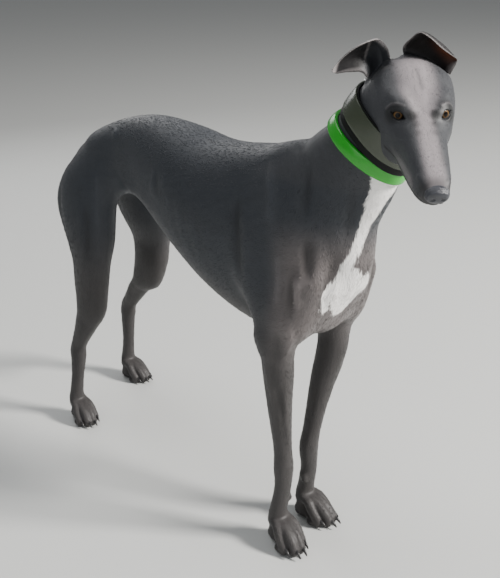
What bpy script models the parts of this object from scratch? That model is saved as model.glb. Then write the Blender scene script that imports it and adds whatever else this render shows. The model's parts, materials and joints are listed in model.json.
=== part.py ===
"""A standing greyhound at life size, in metres: faces -Y, its left is +X, up is +Z, paws on z = 0.

The body is a smooth union of swept, muscle-like masses. The union is a distance field, and a voxel
remesh of the rough masses is settled onto it, so that neighbouring masses run into one another
without creases. The whole body is then parted into head, neck, torso, tail and legs by thin cuts.
"""

import math

import bmesh
import bpy
import numpy as np
from mathutils import Matrix

RIGHT = -1
LEFT = 1
GAP = 0.0003  # left between two touching meshes

# The whole dog is moved so that its bounding box is centred on the origin.
SHIFT = (-0.0157, -0.1871)

# Trunk: place behind the withers, top, widest level, bottom, half width, power.
TRUNK = [
    (-0.106, 0.580, 0.545, 0.505, 0.026, 2.0),
    (-0.082, 0.632, 0.548, 0.455, 0.048, 2.0),
    (-0.042, 0.676, 0.550, 0.412, 0.066, 2.0),
    (0.015, 0.700, 0.556, 0.388, 0.076, 2.0),
    (0.075, 0.697, 0.560, 0.377, 0.087, 2.0),
    (0.135, 0.689, 0.565, 0.388, 0.096, 2.0),
    (0.195, 0.688, 0.574, 0.412, 0.098, 2.0),
    (0.255, 0.697, 0.586, 0.447, 0.092, 2.0),
    (0.315, 0.702, 0.598, 0.490, 0.079, 2.1),
    (0.370, 0.702, 0.610, 0.524, 0.067, 2.2),
    (0.430, 0.693, 0.612, 0.540, 0.061, 2.1),
    (0.490, 0.674, 0.606, 0.542, 0.060, 2.0),
    (0.550, 0.642, 0.590, 0.536, 0.052, 2.0),
    (0.592, 0.608, 0.568, 0.525, 0.042, 2.0),
    (0.620, 0.580, 0.550, 0.520, 0.028, 2.0),
]
KEEL = 0.25  # how much more pointed the lower half of the trunk is

# Each leg's joints: the legs stand a little apart from one another, as a dog at ease stands.
LEGS = {
    RIGHT: dict(
        shoulder=(-0.062, -0.074, 0.512),
        elbow=(-0.072, -0.016, 0.396),
        carpus=(-0.059, -0.022, 0.157),
        fore_paw=(-0.062, -0.022),
        fore_out=-10,
        hip=(-0.050, 0.523, 0.600),
        stifle=(-0.078, 0.480, 0.376),
        hock=(-0.081, 0.582, 0.168),
        hind_paw=(-0.084, 0.590),
        hind_out=-6,
    ),
    LEFT: dict(
        shoulder=(0.062, -0.070, 0.508),
        elbow=(0.068, -0.016, 0.394),
        carpus=(0.024, -0.004, 0.152),
        fore_paw=(0.027, -0.006),
        fore_out=8,
        hip=(0.050, 0.525, 0.598),
        stifle=(0.092, 0.505, 0.374),
        hock=(0.110, 0.660, 0.184),
        hind_paw=(0.114, 0.668),
        hind_out=10,
    ),
}
PAW_SCALE = {"fore": 1.0, "hind": 0.94}
# Toe: place across the paw, how far it stands back, thickness.
TOES = ((-1.5, 0.014, 0.0098), (-0.52, 0.0, 0.0108), (0.52, 0.0, 0.0108), (1.5, 0.014, 0.0098))

# Grooves of the right side, the left mirrored: half width, depth (less than 0 stands proud), points.
FOLDS = [
    (0.009, 0.0068, [(-0.065, -0.079, 0.590), (-0.069, -0.081, 0.564), (-0.078, -0.088, 0.523)]),
    (0.008, 0.0060, [(-0.082, -0.069, 0.547), (-0.090, -0.065, 0.520), (-0.096, -0.064, 0.465)]),
    (0.009, 0.0055, [(-0.042, -0.116, 0.575), (-0.052, -0.110, 0.530), (-0.060, -0.086, 0.460)]),
    (0.007, 0.0040, [(-0.092, -0.046, 0.440), (-0.092, -0.040, 0.405), (-0.088, -0.036, 0.370)]),
    (0.006, -0.0026, [(-0.089, -0.020, 0.400), (-0.084, -0.020, 0.350), (-0.078, -0.026, 0.290)]),
    (0.011, 0.0044, [(-0.068, 0.068, 0.630), (-0.090, 0.055, 0.560), (-0.094, 0.050, 0.480)]),
    (0.008, -0.0028, [(-0.049, 0.015, 0.688), (-0.073, -0.009, 0.643), (-0.084, -0.020, 0.592)]),
    (0.009, 0.0034, [(-0.055, -0.060, 0.700), (-0.060, -0.066, 0.650), (-0.066, -0.070, 0.610)]),
    (0.009, 0.0026, [(-0.030, -0.140, 0.680), (-0.034, -0.132, 0.630), (-0.036, -0.122, 0.580)]),
    (0.007, 0.0016, [(-0.081, 0.269, 0.635), (-0.090, 0.257, 0.609), (-0.094, 0.252, 0.584)]),
    (0.010, 0.0034, [(-0.092, 0.483, 0.535), (-0.101, 0.476, 0.478), (-0.106, 0.471, 0.408)]),
    (0.010, 0.0030, [(-0.080, 0.580, 0.560), (-0.090, 0.566, 0.480), (-0.088, 0.552, 0.410)]),
    (0.012, -0.0030, [(-0.050, 0.428, 0.676), (-0.056, 0.440, 0.664)]),
    (0.006, 0.0030, [(-0.082, -0.030, 0.340), (-0.073, -0.036, 0.270), (-0.066, -0.034, 0.190)]),
    (0.008, 0.0022, [(-0.050, -0.108, 0.500), (-0.046, -0.096, 0.460), (-0.050, -0.070, 0.425)]),
]
MIDDLE_FOLDS = [
    (0.010, 0.0030, [(0.0, -0.128, 0.560), (0.0, -0.126, 0.500), (0.0, -0.095, 0.430)]),
    (0.008, 0.0014, [(0.0, 0.300, 0.702), (0.0, 0.420, 0.696), (0.0, 0.520, 0.660)]),
]

# The head's own frame: x runs forward along the muzzle, y to the dog's left, z up, from between the eyes.
HEAD_AT = (-0.020, -0.233, 0.787)
HEAD_TURN = 40.2
HEAD_DROP = 28.0

# Head: forward of the eyes, top, bottom, half width, power.
SKULL = [
    (0.124, -0.0075, -0.043, 0.0182, 2.5),
    (0.112, -0.0045, -0.052, 0.0218, 2.6),
    (0.095, -0.002, -0.0595, 0.0250, 2.7),
    (0.070, 0.001, -0.0665, 0.0282, 2.7),
    (0.045, 0.004, -0.072, 0.0312, 2.6),
    (0.020, 0.008, -0.077, 0.0355, 2.4),
    (0.000, 0.013, -0.0785, 0.0400, 2.3),
    (-0.025, 0.018, -0.078, 0.0455, 2.2),
    (-0.050, 0.021, -0.073, 0.0488, 2.2),
    (-0.075, 0.020, -0.058, 0.0470, 2.2),
    (-0.098, 0.013, -0.042, 0.0390, 2.1),
    (-0.112, 0.002, -0.030, 0.0290, 2.0),
]
EYE = (-0.0050, 0.0280, -0.0022)
EYE_RADIUS = 0.0110
LID = 0.0018
GAZE = (0.80, 0.32, 0.46)
SLIT = (-0.42, 0.86, 0.16)  # runs from the inner to the outer corner of the lids
EYE_OPEN = (0.0096, 0.0064)  # half length and half height between the lids
NOSE = (0.1262, -0.0198)

# Each ear from its root to its tip, in the head's frame with y away from the middle: its outer margin,
# the back of its cup, and its inner margin, which runs up over the peak of the fold.
EARS = {
    RIGHT: (
        [
            (-0.080, 0.044, -0.022), (-0.084, 0.058, -0.006),
            (-0.085, 0.063, 0.002), (-0.086, 0.070, 0.0055),
            (-0.086, 0.079, 0.0055), (-0.086, 0.090, 0.0050),
            (-0.086, 0.101, 0.0035), (-0.086, 0.108, 0.0065),
        ],
        [
            (-0.100, 0.030, -0.014), (-0.111, 0.040, 0.005), (-0.115, 0.047, 0.020), (-0.112, 0.058, 0.028),
            (-0.105, 0.070, 0.028), (-0.099, 0.084, 0.024), (-0.093, 0.098, 0.016), (-0.0865, 0.1083, 0.0085),
        ],
        [
            (-0.088, 0.024, 0.000), (-0.095, 0.028, 0.020), (-0.097, 0.034, 0.036), (-0.097, 0.046, 0.049),
            (-0.095, 0.062, 0.047), (-0.092, 0.079, 0.040), (-0.089, 0.095, 0.027), (-0.086, 0.108, 0.0105),
        ],
    ),
    LEFT: (
        [
            (-0.080, 0.044, -0.024), (-0.082, 0.053, -0.008), (-0.083, 0.056, 0.000), (-0.084, 0.058, 0.006),
            (-0.085, 0.060, 0.011), (-0.0855, 0.0615, 0.015),
            (-0.086, 0.062, 0.0185), (-0.086, 0.062, 0.0205),
        ],
        [
            (-0.102, 0.020, -0.012), (-0.115, 0.021, 0.008), (-0.118, 0.026, 0.024), (-0.114, 0.033, 0.034),
            (-0.106, 0.042, 0.034), (-0.099, 0.050, 0.030), (-0.092, 0.057, 0.025), (-0.0865, 0.0615, 0.0222),
        ],
        [
            (-0.098, 0.002, 0.000), (-0.108, -0.010, 0.026), (-0.104, -0.002, 0.046), (-0.098, 0.006, 0.058),
            (-0.093, 0.020, 0.053), (-0.090, 0.036, 0.040), (-0.088, 0.052, 0.029), (-0.086, 0.061, 0.0240),
        ],
    ),
}
EAR_THICK = 0.0026

TAIL = [
    (0.000, 0.585, 0.590, 0.026, 0.026, 0.026),
    (0.000, 0.626, 0.560, 0.0175, 0.0185, 0.0185),
    (-0.004, 0.644, 0.500, 0.0130, 0.0135, 0.0135),
    (-0.008, 0.652, 0.420, 0.0105, 0.0110, 0.0110),
    (-0.012, 0.655, 0.340, 0.0085, 0.0085, 0.0085),
    (-0.014, 0.660, 0.260, 0.0065, 0.0065, 0.0065),
    (-0.014, 0.676, 0.200, 0.0045, 0.0045, 0.0045),
    (-0.012, 0.702, 0.165, 0.0028, 0.0028, 0.0028),
]

# Collars: centre, the way each band's axis points, width and thickness.
WIDE_COLLAR = dict(at=(0.011, -0.150, 0.766), axis=(0.06, -0.65, 0.76), width=0.036, thick=0.0032)
SLIM_COLLAR = dict(at=(0.0074, -0.1274, 0.729), axis=(0.07, -0.56, 0.83), width=0.020, thick=0.0040)
COLLAR_EASE = 0.0016
CHEEK_CLEAR = 0.0016  # how far the wide collar stays off the cheeks and jaw

BUCKLE_ANGLE = 300
RING_ANGLE = 340

# The line of the mouth, from the front of the lips back along the left side, in the head's frame.
MOUTH = [
    (0.124, 0.000, -0.0325),
    (0.116, 0.0130, -0.0360),
    (0.098, 0.0195, -0.0415),
    (0.072, 0.0240, -0.0465),
    (0.046, 0.0275, -0.0500),
    (0.022, 0.0320, -0.0495),
    (0.004, 0.0350, -0.0455),
]
MOUTH_WIDE = 0.0015

# Where the body is parted. Each box: middle of its near face, the way it leads, across, sizes.
# Each wedge, for a left leg: corners from the front as x and z, and its front and back.
TAIL_BOX = ((0, 0.708, 0.540), (0, 0, -1), (1, 0, 0), (0.064, 0.200, 0.45))
FORE_WEDGE = (((0, 0.331), (0, -0.02), (0.30, -0.02), (0.30, 0.793)), -0.20, 0.10)
HIND_WEDGE = (((0, 0.473), (0, -0.02), (0.25, -0.02), (0.25, 0.807)), 0.424, 0.80)
NECK_BOX = ((0, -0.060, 0.640), (0, -0.753, 0.659), (1, 0, 0), (0.60, 0.60, 0.60))
HEAD_BOX = (WIDE_COLLAR["at"], WIDE_COLLAR["axis"], (1, 0, 0), (0.60, 0.60, 0.60))

BODY_VOXEL = 0.0045
DOG_FACES = 8200

COAT = (0.100, 0.115, 0.135)
LOOKS = {
    "head": (COAT, 0.7, 0.0),
    "neck": (COAT, 0.7, 0.0),
    "torso": (COAT, 0.7, 0.0),
    "tail": (COAT, 0.7, 0.0),
    "fore": (COAT, 0.7, 0.0),
    "hind": (COAT, 0.7, 0.0),
    "ear": ((0.080, 0.085, 0.100), 0.7, 0.0),
    "eye": ((0.240, 0.130, 0.050), 0.1, 0.0),
    "nose": ((0.020, 0.022, 0.028), 0.4, 0.0),
    "collar_wide": ((0.140, 0.150, 0.120), 0.35, 0.0),
    "collar_green": ((0.120, 0.560, 0.140), 0.35, 0.0),
    "collar_buckle": ((0.600, 0.600, 0.580), 0.25, 1.0),
    "collar_ring": ((0.600, 0.600, 0.580), 0.25, 1.0),
}


def unit(v):
    return v / np.linalg.norm(v, axis=-1, keepdims=True)


def spline(rows, count):
    """Evenly stepped rows of a Catmull-Rom curve through the given rows."""
    rows = np.array(rows, float)
    ends = np.vstack([2 * rows[0] - rows[1], rows, 2 * rows[-1] - rows[-2]])
    steps = np.linspace(0, len(rows) - 1, count)
    i = np.minimum(steps.astype(int), len(rows) - 2)
    t = (steps - i)[:, None]
    a, b, c, d = ends[i], ends[i + 1], ends[i + 2], ends[i + 3]
    bend = (c - a) * t + (2 * a - 5 * b + 4 * c - d) * t**2 + (3 * b - a - 3 * c + d) * t**3
    return b + 0.5 * bend


def between(values, t):
    """The values of a sampled curve at the fractional samples t."""
    i = np.minimum(t.astype(int), len(values) - 2)
    f = t - i
    if values.ndim > 1:
        f = f[:, None]
    return values[i] * (1 - f) + values[i + 1] * f


class Mass:
    """A rounded body swept along a curve, from rows of x, y, z, half width, reach ahead, reach behind.

    A seventh number in a row is the power of its section: 2 is an ellipse, more is squarer. With an axis
    given, all sections are square to it, and otherwise to the curve.
    """

    def __init__(
        self, rows, side=(1, 0, 0), blend=0.02, samples=0, power=2.0, keel=0.0, cap=None, axis=None
    ):
        rows = [tuple(row) if len(row) > 6 else tuple(row) + (power,) for row in rows]
        table = spline(rows, samples or 6 * (len(rows) - 1) + 1)
        self.centre = table[:, :3]
        self.size = np.maximum(table[:, 3:6], 0.0008)
        self.power = np.maximum(table[:, 6], 1.2)
        self.keel = keel
        self.axis = axis
        self.along = unit(np.gradient(self.centre, axis=0))
        if axis is not None:
            self.axis = unit(np.array(axis, float))
            self.along = np.tile(self.axis, (len(table), 1))
        side = np.array(side, float)
        self.across = unit(side - (self.along @ side)[:, None] * self.along)
        self.ahead = np.cross(self.along, self.across)
        self.step = np.linalg.norm(np.gradient(self.centre, axis=0), axis=1)
        self.blend = blend
        self.cap = cap
        reach = self.size.max(1)[:, None]
        margin = 0.012 + 1.1 * blend  # beyond it the mass no longer counts
        self.low = (self.centre - reach).min(0) - margin
        self.high = (self.centre + reach).max(0) + margin

    def distance(self, points):
        """Signed distance from the points to the surface, near enough for blending."""
        last = len(self.centre) - 1
        if self.axis is not None:
            t = np.interp(points @ self.axis, self.centre @ self.axis, np.arange(last + 1.0))
        else:
            t = ((points[:, None, :] - self.centre[None]) ** 2).sum(2).argmin(1).astype(float)
            for _ in range(2):
                off = points - between(self.centre, t)
                slide = (off * between(self.along, t)).sum(1) / between(self.step, t)
                t = np.clip(t + slide, 0, last)
        off = points - between(self.centre, t)
        u = (off * between(self.across, t)).sum(1)
        v = (off * between(self.ahead, t)).sum(1)
        w = (off * between(self.along, t)).sum(1)
        size = between(self.size, t)
        power = between(self.power, t) - self.keel * (v > 0)
        reach = np.where(v > 0, size[:, 1], size[:, 2])
        cap = self.cap or size.min(1)
        scaled = [(np.abs(x) / s + 1e-9, s) for x, s in ((u, size[:, 0]), (v, reach), (w, cap))]
        r = sum(x**power for x, s in scaled) ** (1 / power)
        slope = np.sqrt(sum((x ** (power - 1) / s) ** 2 for x, s in scaled)) * r ** (1 - power)
        return (r - 1) / slope

    def tube(self, sides=20):
        """Corners and faces of a rough closed tube of about the same form."""
        last = len(self.centre) - 1
        rings = [(0, -0.95, 0.3), (0, -0.7, 0.7)]
        rings += [(i, 0.0, 1.0) for i in range(last + 1)]
        rings += [(last, 0.7, 0.7), (last, 0.95, 0.3)]
        corners = []
        for i, push, grow in rings:
            cap = self.cap or self.size[i].min()
            for k in range(sides):
                angle = 2 * math.pi * k / sides
                c, s = math.cos(angle), math.sin(angle)
                bend = 2 / self.power[i]
                u = math.copysign(abs(c) ** bend, c) * self.size[i, 0] * grow
                v = math.copysign(abs(s) ** bend, s) * self.size[i, 1 if s > 0 else 2] * grow
                flat = self.centre[i] + u * self.across[i] + v * self.ahead[i]
                corners.append(flat + push * cap * self.along[i])
        faces = []
        for r in range(len(rings) - 1):
            for k in range(sides):
                a, b = r * sides + k, r * sides + (k + 1) % sides
                faces.append((a, b, b + sides, a + sides))
        faces.append(tuple(reversed(range(sides))))
        faces.append(tuple(range(len(corners) - sides, len(corners))))
        return corners, faces


def placed(rows, frame, side=(1, 0, 0), scale=1.0, axis=None, **more):
    """A mass whose rows are given in another frame, a 4 x 4 matrix."""
    if axis is not None:
        axis = frame[:3, :3] @ np.array(axis, float)
    turned = []
    for row in rows:
        here = frame[:3, :3] @ np.array(row[:3]) + frame[:3, 3]
        turned.append(tuple(here) + tuple(v * scale for v in row[3:6]) + tuple(row[6:]))
    across = unit(frame[:3, :3] @ np.array(side, float))
    return Mass(turned, side=across, axis=axis, **more)


def spindle(start, end, wide, ahead, behind, blend=0.02, full=0.55, side=(1, 0, 0)):
    """A muscle belly: a mass that swells between its two ends."""
    start, end = np.array(start, float), np.array(end, float)
    rows = []
    for t in (0.0, 0.25, 0.5, 0.75, 1.0):
        swell = full + (1 - full) * math.sin(math.pi * t)
        rows.append((*(start + (end - start) * t), wide * swell, ahead * swell, behind * swell))
    return Mass(rows, side, blend)


class Fold:
    """A shallow groove along a line on the surface, or a ridge where its depth is less than 0."""

    def __init__(self, points, width, depth):
        self.points = np.array(points, float)
        self.width = width
        self.depth = depth
        self.low = self.points.min(0) - 2.4 * width
        self.high = self.points.max(0) + 2.4 * width

    def offset(self, points):
        least = np.full(len(points), 1.0)
        for a, b in zip(self.points[:-1], self.points[1:]):
            t = np.clip((points - a) @ (b - a) / ((b - a) @ (b - a)), 0, 1)
            gap = np.linalg.norm(points - a - t[:, None] * (b - a), axis=1)
            least = np.minimum(least, gap)
        return self.depth * np.exp(-((least / self.width) ** 2))


def field(points, masses, carves=(), folds=()):
    """The smooth union of the masses less the carves, as a signed distance that is negative inside."""
    total = np.full(len(points), 1.0)
    for mass in masses:
        near = ((points > mass.low) & (points < mass.high)).all(1)
        if near.any():
            d, a = mass.distance(points[near]), total[near]
            h = np.clip(0.5 + 0.5 * (a - d) / mass.blend, 0, 1)
            total[near] = a + (d - a) * h - mass.blend * h * (1 - h)
    for mass in carves:
        near = ((points > mass.low) & (points < mass.high)).all(1)
        if near.any():
            d, a = -mass.distance(points[near]), total[near]
            h = np.clip(0.5 + 0.5 * (d - a) / mass.blend, 0, 1)
            total[near] = a + (d - a) * h + mass.blend * h * (1 - h)
    for fold in folds:
        near = ((points > fold.low) & (points < fold.high)).all(1)
        if near.any():
            total[near] += fold.offset(points[near])
    return total


def head_frame():
    turn = Matrix.Rotation(math.radians(-90 - HEAD_TURN), 4, "Z")
    drop = Matrix.Rotation(math.radians(HEAD_DROP), 4, "Y")
    return np.array(Matrix.Translation(HEAD_AT) @ turn @ drop)


def trunk():
    rows = []
    for y, top, middle, bottom, half, power in TRUNK:
        rows.append((0, y, middle, half, middle - bottom, top - middle, power))
    return Mass(rows, blend=0.03, cap=0.03, keel=KEEL, axis=(0, 1, 0))


def neck(head):
    poll = head[:3, :3] @ np.array((-0.080, 0, -0.018)) + head[:3, 3]
    rows = [
        (*poll, 0.041, 0.044, 0.036),
        (0.009, -0.152, 0.785, 0.048, 0.060, 0.042),
        (0.006, -0.128, 0.735, 0.051, 0.071, 0.057),
        (0.003, -0.098, 0.680, 0.053, 0.078, 0.084),
        (0.000, -0.062, 0.622, 0.056, 0.078, 0.102),
        (0.000, -0.024, 0.560, 0.050, 0.055, 0.090),
    ]
    return Mass(rows, blend=0.045, axis=(-0.11, 0.52, -0.85))


def mix(a, b, t):
    return a + (b - a) * t


def foreleg(s):
    leg = LEGS[s]
    sx, sy, sz = leg["shoulder"]
    ex, ey, ez = leg["elbow"]
    cx, cy, cz = leg["carpus"]
    px, py = leg["fore_paw"]
    blade = Mass([
        (s * 0.026, 0.022, 0.678, 0.012, 0.030, 0.034),
        (s * 0.050, -0.012, 0.612, 0.022, 0.040, 0.048),
        (0.92 * sx, sy + 0.004, sz, 0.024, 0.028, 0.036),
    ], blend=0.04)
    upper = Mass([
        (0.90 * sx, sy + 0.004, sz - 0.002, 0.026, 0.026, 0.032),
        (mix(sx, ex, 0.4), mix(sy, ey, 0.45), mix(sz, ez, 0.5), 0.030, 0.034, 0.040),
        (ex, ey, ez, 0.026, 0.031, 0.028),
    ], blend=0.03)
    top = (s * 0.062, 0.042, 0.580)
    triceps = spindle(top, (ex, ey + 0.016, ez + 0.018), 0.024, 0.040, 0.040, 0.035)
    top = (s * 0.020, -0.074, 0.505)
    breast = spindle(top, (0.85 * ex, ey - 0.030, ez + 0.055), 0.026, 0.026, 0.030, 0.04, 0.8)
    shaft = Mass([
        (ex, ey, ez + 0.010, 0.0255, 0.031, 0.030),
        (mix(ex, cx, 0.12), ey - 0.003, ez - 0.045, 0.0260, 0.030, 0.027),
        (mix(ex, cx, 0.45), mix(ey, cy, 0.45), ez - 0.115, 0.0210, 0.0240, 0.0225),
        (mix(cx, ex, 0.15), mix(cy, ey, 0.15), cz + 0.042, 0.0165, 0.0180, 0.0170),
        (cx, cy, cz, 0.0190, 0.0178, 0.0175),
        (mix(cx, px, 0.4), mix(cy, py, 0.3), cz - 0.042, 0.0165, 0.0145, 0.0160),
        (px, py + 0.010, 0.060, 0.0180, 0.0145, 0.0160),
    ], blend=0.015)
    top = (ex, ey + 0.024, ez + 0.022)
    point = spindle(top, (ex, ey + 0.024, ez - 0.010), 0.012, 0.012, 0.012, 0.018, 0.8)
    dew = Mass([
        (px - s * 0.016, py + 0.004, 0.098, 0.0045, 0.006, 0.006),
        (px - s * 0.018, py - 0.003, 0.086, 0.0042, 0.005, 0.005),
    ], blend=0.008)
    toes = paw(px, py, leg["fore_out"], PAW_SCALE["fore"])
    return [blade, upper, triceps, breast, shaft, point, dew] + toes


def hind_leg(s):
    leg = LEGS[s]
    hx, hy, hz = leg["hip"]
    kx, ky, kz = leg["stifle"]
    tx, ty, tz = leg["hock"]
    px, py = leg["hind_paw"]
    thigh = Mass([
        (s * 0.028, hy - 0.024, 0.622, 0.022, 0.046, 0.032),
        (0.94 * hx, hy - 0.005, 0.572, 0.040, 0.078, 0.078),
        (mix(hx, kx, 0.4), hy + 0.002, 0.515, 0.041, 0.084, 0.092),
        (mix(hx, kx, 0.75), mix(hy, ky, 0.5) + 0.008, 0.450, 0.036, 0.070, 0.080),
        (kx, ky + 0.020, 0.400, 0.029, 0.052, 0.060),
        (mix(kx, tx, 0.08), ky + 0.027, 0.350, 0.0270, 0.047, 0.053),
        (mix(kx, tx, 0.32), mix(ky, ty, 0.38), 0.290, 0.0235, 0.045, 0.042),
        (mix(kx, tx, 0.60), mix(ky, ty, 0.62), tz + 0.078, 0.0180, 0.0345, 0.0285),
        (mix(kx, tx, 0.80), mix(ky, ty, 0.81), tz + 0.045, 0.0130, 0.0230, 0.0195),
        (mix(kx, tx, 0.92), mix(ky, ty, 0.93), tz + 0.020, 0.0070, 0.0090, 0.0090),
    ], blend=0.04, cap=0.020, axis=(0, 0, -1))
    shank = Mass([
        (mix(kx, tx, 0.56), mix(ky, ty, 0.58), tz + 0.086, 0.0140, 0.0190, 0.0190),
        (mix(kx, tx, 0.80), mix(ky, ty, 0.81), tz + 0.045, 0.0128, 0.0185, 0.0190),
        (mix(tx, kx, 0.06), mix(ty, ky, 0.04), tz + 0.018, 0.0134, 0.0205, 0.0215),
        (tx, ty, tz, 0.0160, 0.0215, 0.0225),
        (tx, ty + 0.003, tz - 0.022, 0.0152, 0.0190, 0.0195),
        (mix(tx, px, 0.5), mix(ty, py + 0.012, 0.5), 0.105, 0.0138, 0.0150, 0.0165),
        (px, py + 0.012, 0.055, 0.0165, 0.0145, 0.0160),
    ], blend=0.014)
    return [thigh, shank] + paw(px, py, leg["hind_out"], PAW_SCALE["hind"])


def paw_frame(x, y, out, scale):
    turn = Matrix.Translation((x, y, 0)) @ Matrix.Rotation(math.radians(out), 4, "Z")
    return np.array(turn @ Matrix.Scale(scale, 4))


def paw(x, y, out, scale):
    """A hare foot: four arched toes on their pads, and the heel pad, turned out by a few degrees."""
    turn = paw_frame(x, y, out, scale)
    masses = []
    for side, back, thick in TOES:
        x = side * 0.0125
        toe = [
            (x * 0.55, 0.012, 0.046, thick * 0.95, thick, thick),
            (x * 0.85, -0.012 + back * 0.3, 0.041, thick, thick, thick),
            (x * 1.02, -0.034 + back, 0.028, thick, thick, thick * 1.1),
            (x * 1.05, -0.046 + back, 0.013, thick * 0.92, thick, thick),
        ]
        pad = [
            (x * 1.05, -0.030 + back, 0.006, thick * 0.85, 0.0075, 0.0075),
            (x * 1.05, -0.046 + back, 0.006, thick * 0.80, 0.0075, 0.0075),
        ]
        masses.append(placed(toe, turn, scale=scale, blend=0.004))
        masses.append(placed(pad, turn, scale=scale, blend=0.003))
    heel = [(0, 0.016, 0.010, 0.0165, 0.013, 0.012), (0, -0.010, 0.009, 0.0185, 0.011, 0.012)]
    knuckle = [(0, 0.013, 0.050, 0.0165, 0.014, 0.0120), (0, 0.013, 0.020, 0.018, 0.018, 0.0140)]
    masses.append(placed(heel, turn, scale=scale, blend=0.008))
    masses.append(placed(knuckle, turn, scale=scale, blend=0.012))
    return masses


def claws(x, y, out, scale):
    """The claws of a paw, each a short bent cone that starts inside its toe."""
    turn = paw_frame(x, y, out, scale)
    masses = []
    for side, back, thick in TOES:
        x = side * 0.0125
        rows = [
            (x * 1.06, -0.048 + back, 0.017, 0.0034, 0.0036, 0.0036),
            (x * 1.07, -0.058 + back, 0.0130, 0.0026, 0.0028, 0.0028),
            (x * 1.08, -0.064 + back, 0.0075, 0.0013, 0.0015, 0.0015),
        ]
        masses.append(placed(rows, turn, scale=scale, blend=0.002, samples=3))
    return masses


def head_masses(head):
    across = (0, 1, 0)
    rows = []
    for x, top, bottom, half, power in SKULL:
        middle = mix(bottom, top, 0.62)
        rows.append((x, 0, middle, half, middle - bottom, top - middle, power))
    masses = [placed(rows, head, across, axis=(-1, 0, 0), blend=0.03, cap=0.007)]
    for s in (RIGHT, LEFT):
        cheek = [
            (0.006, s * 0.0310, -0.025, 0.006, 0.010, 0.010),
            (-0.030, s * 0.0385, -0.014, 0.010, 0.017, 0.015),
            (-0.065, s * 0.0400, -0.010, 0.010, 0.017, 0.015),
        ]
        brow = [
            (0.003, s * 0.0200, 0.006, 0.006, 0.005, 0.005),
            (-0.012, s * 0.0255, 0.010, 0.007, 0.006, 0.005),
            (-0.028, s * 0.0310, 0.008, 0.007, 0.006, 0.005),
        ]
        jaw = [
            (-0.004, s * 0.030, -0.056, 0.010, 0.014, 0.012),
            (-0.032, s * 0.035, -0.056, 0.014, 0.018, 0.016),
            (-0.060, s * 0.038, -0.045, 0.013, 0.018, 0.016),
        ]
        x, y, z = EYE
        r = EYE_RADIUS + LID
        lid = [(x, s * y, z, r, r, r), (x - 0.002, s * y, z, r, r, r)]
        masses.append(placed(cheek, head, across, blend=0.030))
        masses.append(placed(brow, head, across, blend=0.016))
        masses.append(placed(jaw, head, across, blend=0.025))
        masses.append(placed(lid, head, across, blend=0.010, samples=3))
    return masses


def body_masses(head):
    breast = [
        (0.0, -0.085, 0.640, 0.045, 0.034, 0.050),
        (0.0, -0.080, 0.570, 0.058, 0.044, 0.050),
        (0.0, -0.074, 0.510, 0.060, 0.044, 0.050),
        (0.0, -0.050, 0.445, 0.050, 0.036, 0.050),
    ]
    sheath = [
        (0.0, 0.410, 0.540, 0.0100, 0.011, 0.011),
        (0.0, 0.372, 0.524, 0.0110, 0.012, 0.012),
        (0.0, 0.342, 0.505, 0.0080, 0.008, 0.008),
    ]
    masses = [trunk(), neck(head), Mass(breast, blend=0.04, axis=(0, 0.2, -1)), Mass(sheath, blend=0.022)]
    for s in (RIGHT, LEFT):
        masses += foreleg(s) + hind_leg(s)
    return masses + head_masses(head) + [Mass(TAIL, blend=0.03)]


def new_object(name, corners, faces):
    mesh = bpy.data.meshes.new(name)
    mesh.from_pydata([tuple(p) for p in corners], [], faces)
    obj = bpy.data.objects.new(name, mesh)
    bpy.context.scene.collection.objects.link(obj)
    return obj


def applied(obj):
    """The object with its modifiers turned into plain mesh."""
    graph = bpy.context.evaluated_depsgraph_get()
    made = bpy.data.meshes.new_from_object(obj.evaluated_get(graph))
    obj.modifiers.clear()
    obj.data = made
    return obj


def rough(name, masses, voxel):
    """The masses' tubes as one even mesh."""
    corners, faces = [], []
    for mass in masses:
        points, ring = mass.tube()
        faces += [tuple(i + len(corners) for i in face) for face in ring]
        corners += list(points)
    obj = new_object(name, corners, faces)
    remesh = obj.modifiers.new("Join", "REMESH")
    remesh.mode = "VOXEL"
    remesh.voxel_size = voxel
    even = obj.modifiers.new("Even", "SMOOTH")
    even.factor = 0.5
    even.iterations = 4
    return applied(obj)


def points_of(mesh, kind="co"):
    values = np.empty(len(mesh.vertices) * 3)
    mesh.vertices.foreach_get(kind, values)
    return values.reshape(-1, 3)


def slope_of(points, form, step=0.0005):
    """The field at the points and its gradient."""
    here = field(points, *form)
    slope = np.empty_like(points)
    for axis in range(3):
        moved = points.copy()
        moved[:, axis] += step
        slope[:, axis] = (field(moved, *form) - here) / step
    return here, slope


def on_surface(points, form, rounds=6):
    """The points brought down the field's slope to its surface."""
    points = np.array(points, float)
    for _ in range(rounds):
        here, slope = slope_of(points, form)
        points = points - (here / np.maximum((slope**2).sum(1), 0.25))[:, None] * slope
    return points


def settle(obj, form, rounds=4, most=0.005, inset=0.0):
    """Brings each vertex down the field's slope to its surface, or inset inside it, and evens the mesh."""
    mesh = obj.data
    points = points_of(mesh)
    edges = np.empty(len(mesh.edges) * 2, np.int64)
    mesh.edges.foreach_get("vertices", edges)
    edges = edges.reshape(-1, 2)
    degree = np.bincount(edges.ravel(), minlength=len(points))[:, None]
    for k in range(rounds):
        if k < rounds - 1:
            mean = np.zeros_like(points)
            for axis in range(3):
                mean[:, axis] = np.bincount(edges[:, 0], points[edges[:, 1], axis], len(points))
                mean[:, axis] += np.bincount(edges[:, 1], points[edges[:, 0], axis], len(points))
            points = points + 0.5 * (mean / degree - points)
        here, slope = slope_of(points, form)
        steep = np.maximum((slope**2).sum(1), 0.16)
        move = -((here + inset) / steep)[:, None] * slope
        length = np.linalg.norm(move, axis=1, keepdims=True)
        points = points + move * np.minimum(1, most / np.maximum(length, 1e-9))
    mesh.vertices.foreach_set("co", points.ravel())
    mesh.update()
    return obj


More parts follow.
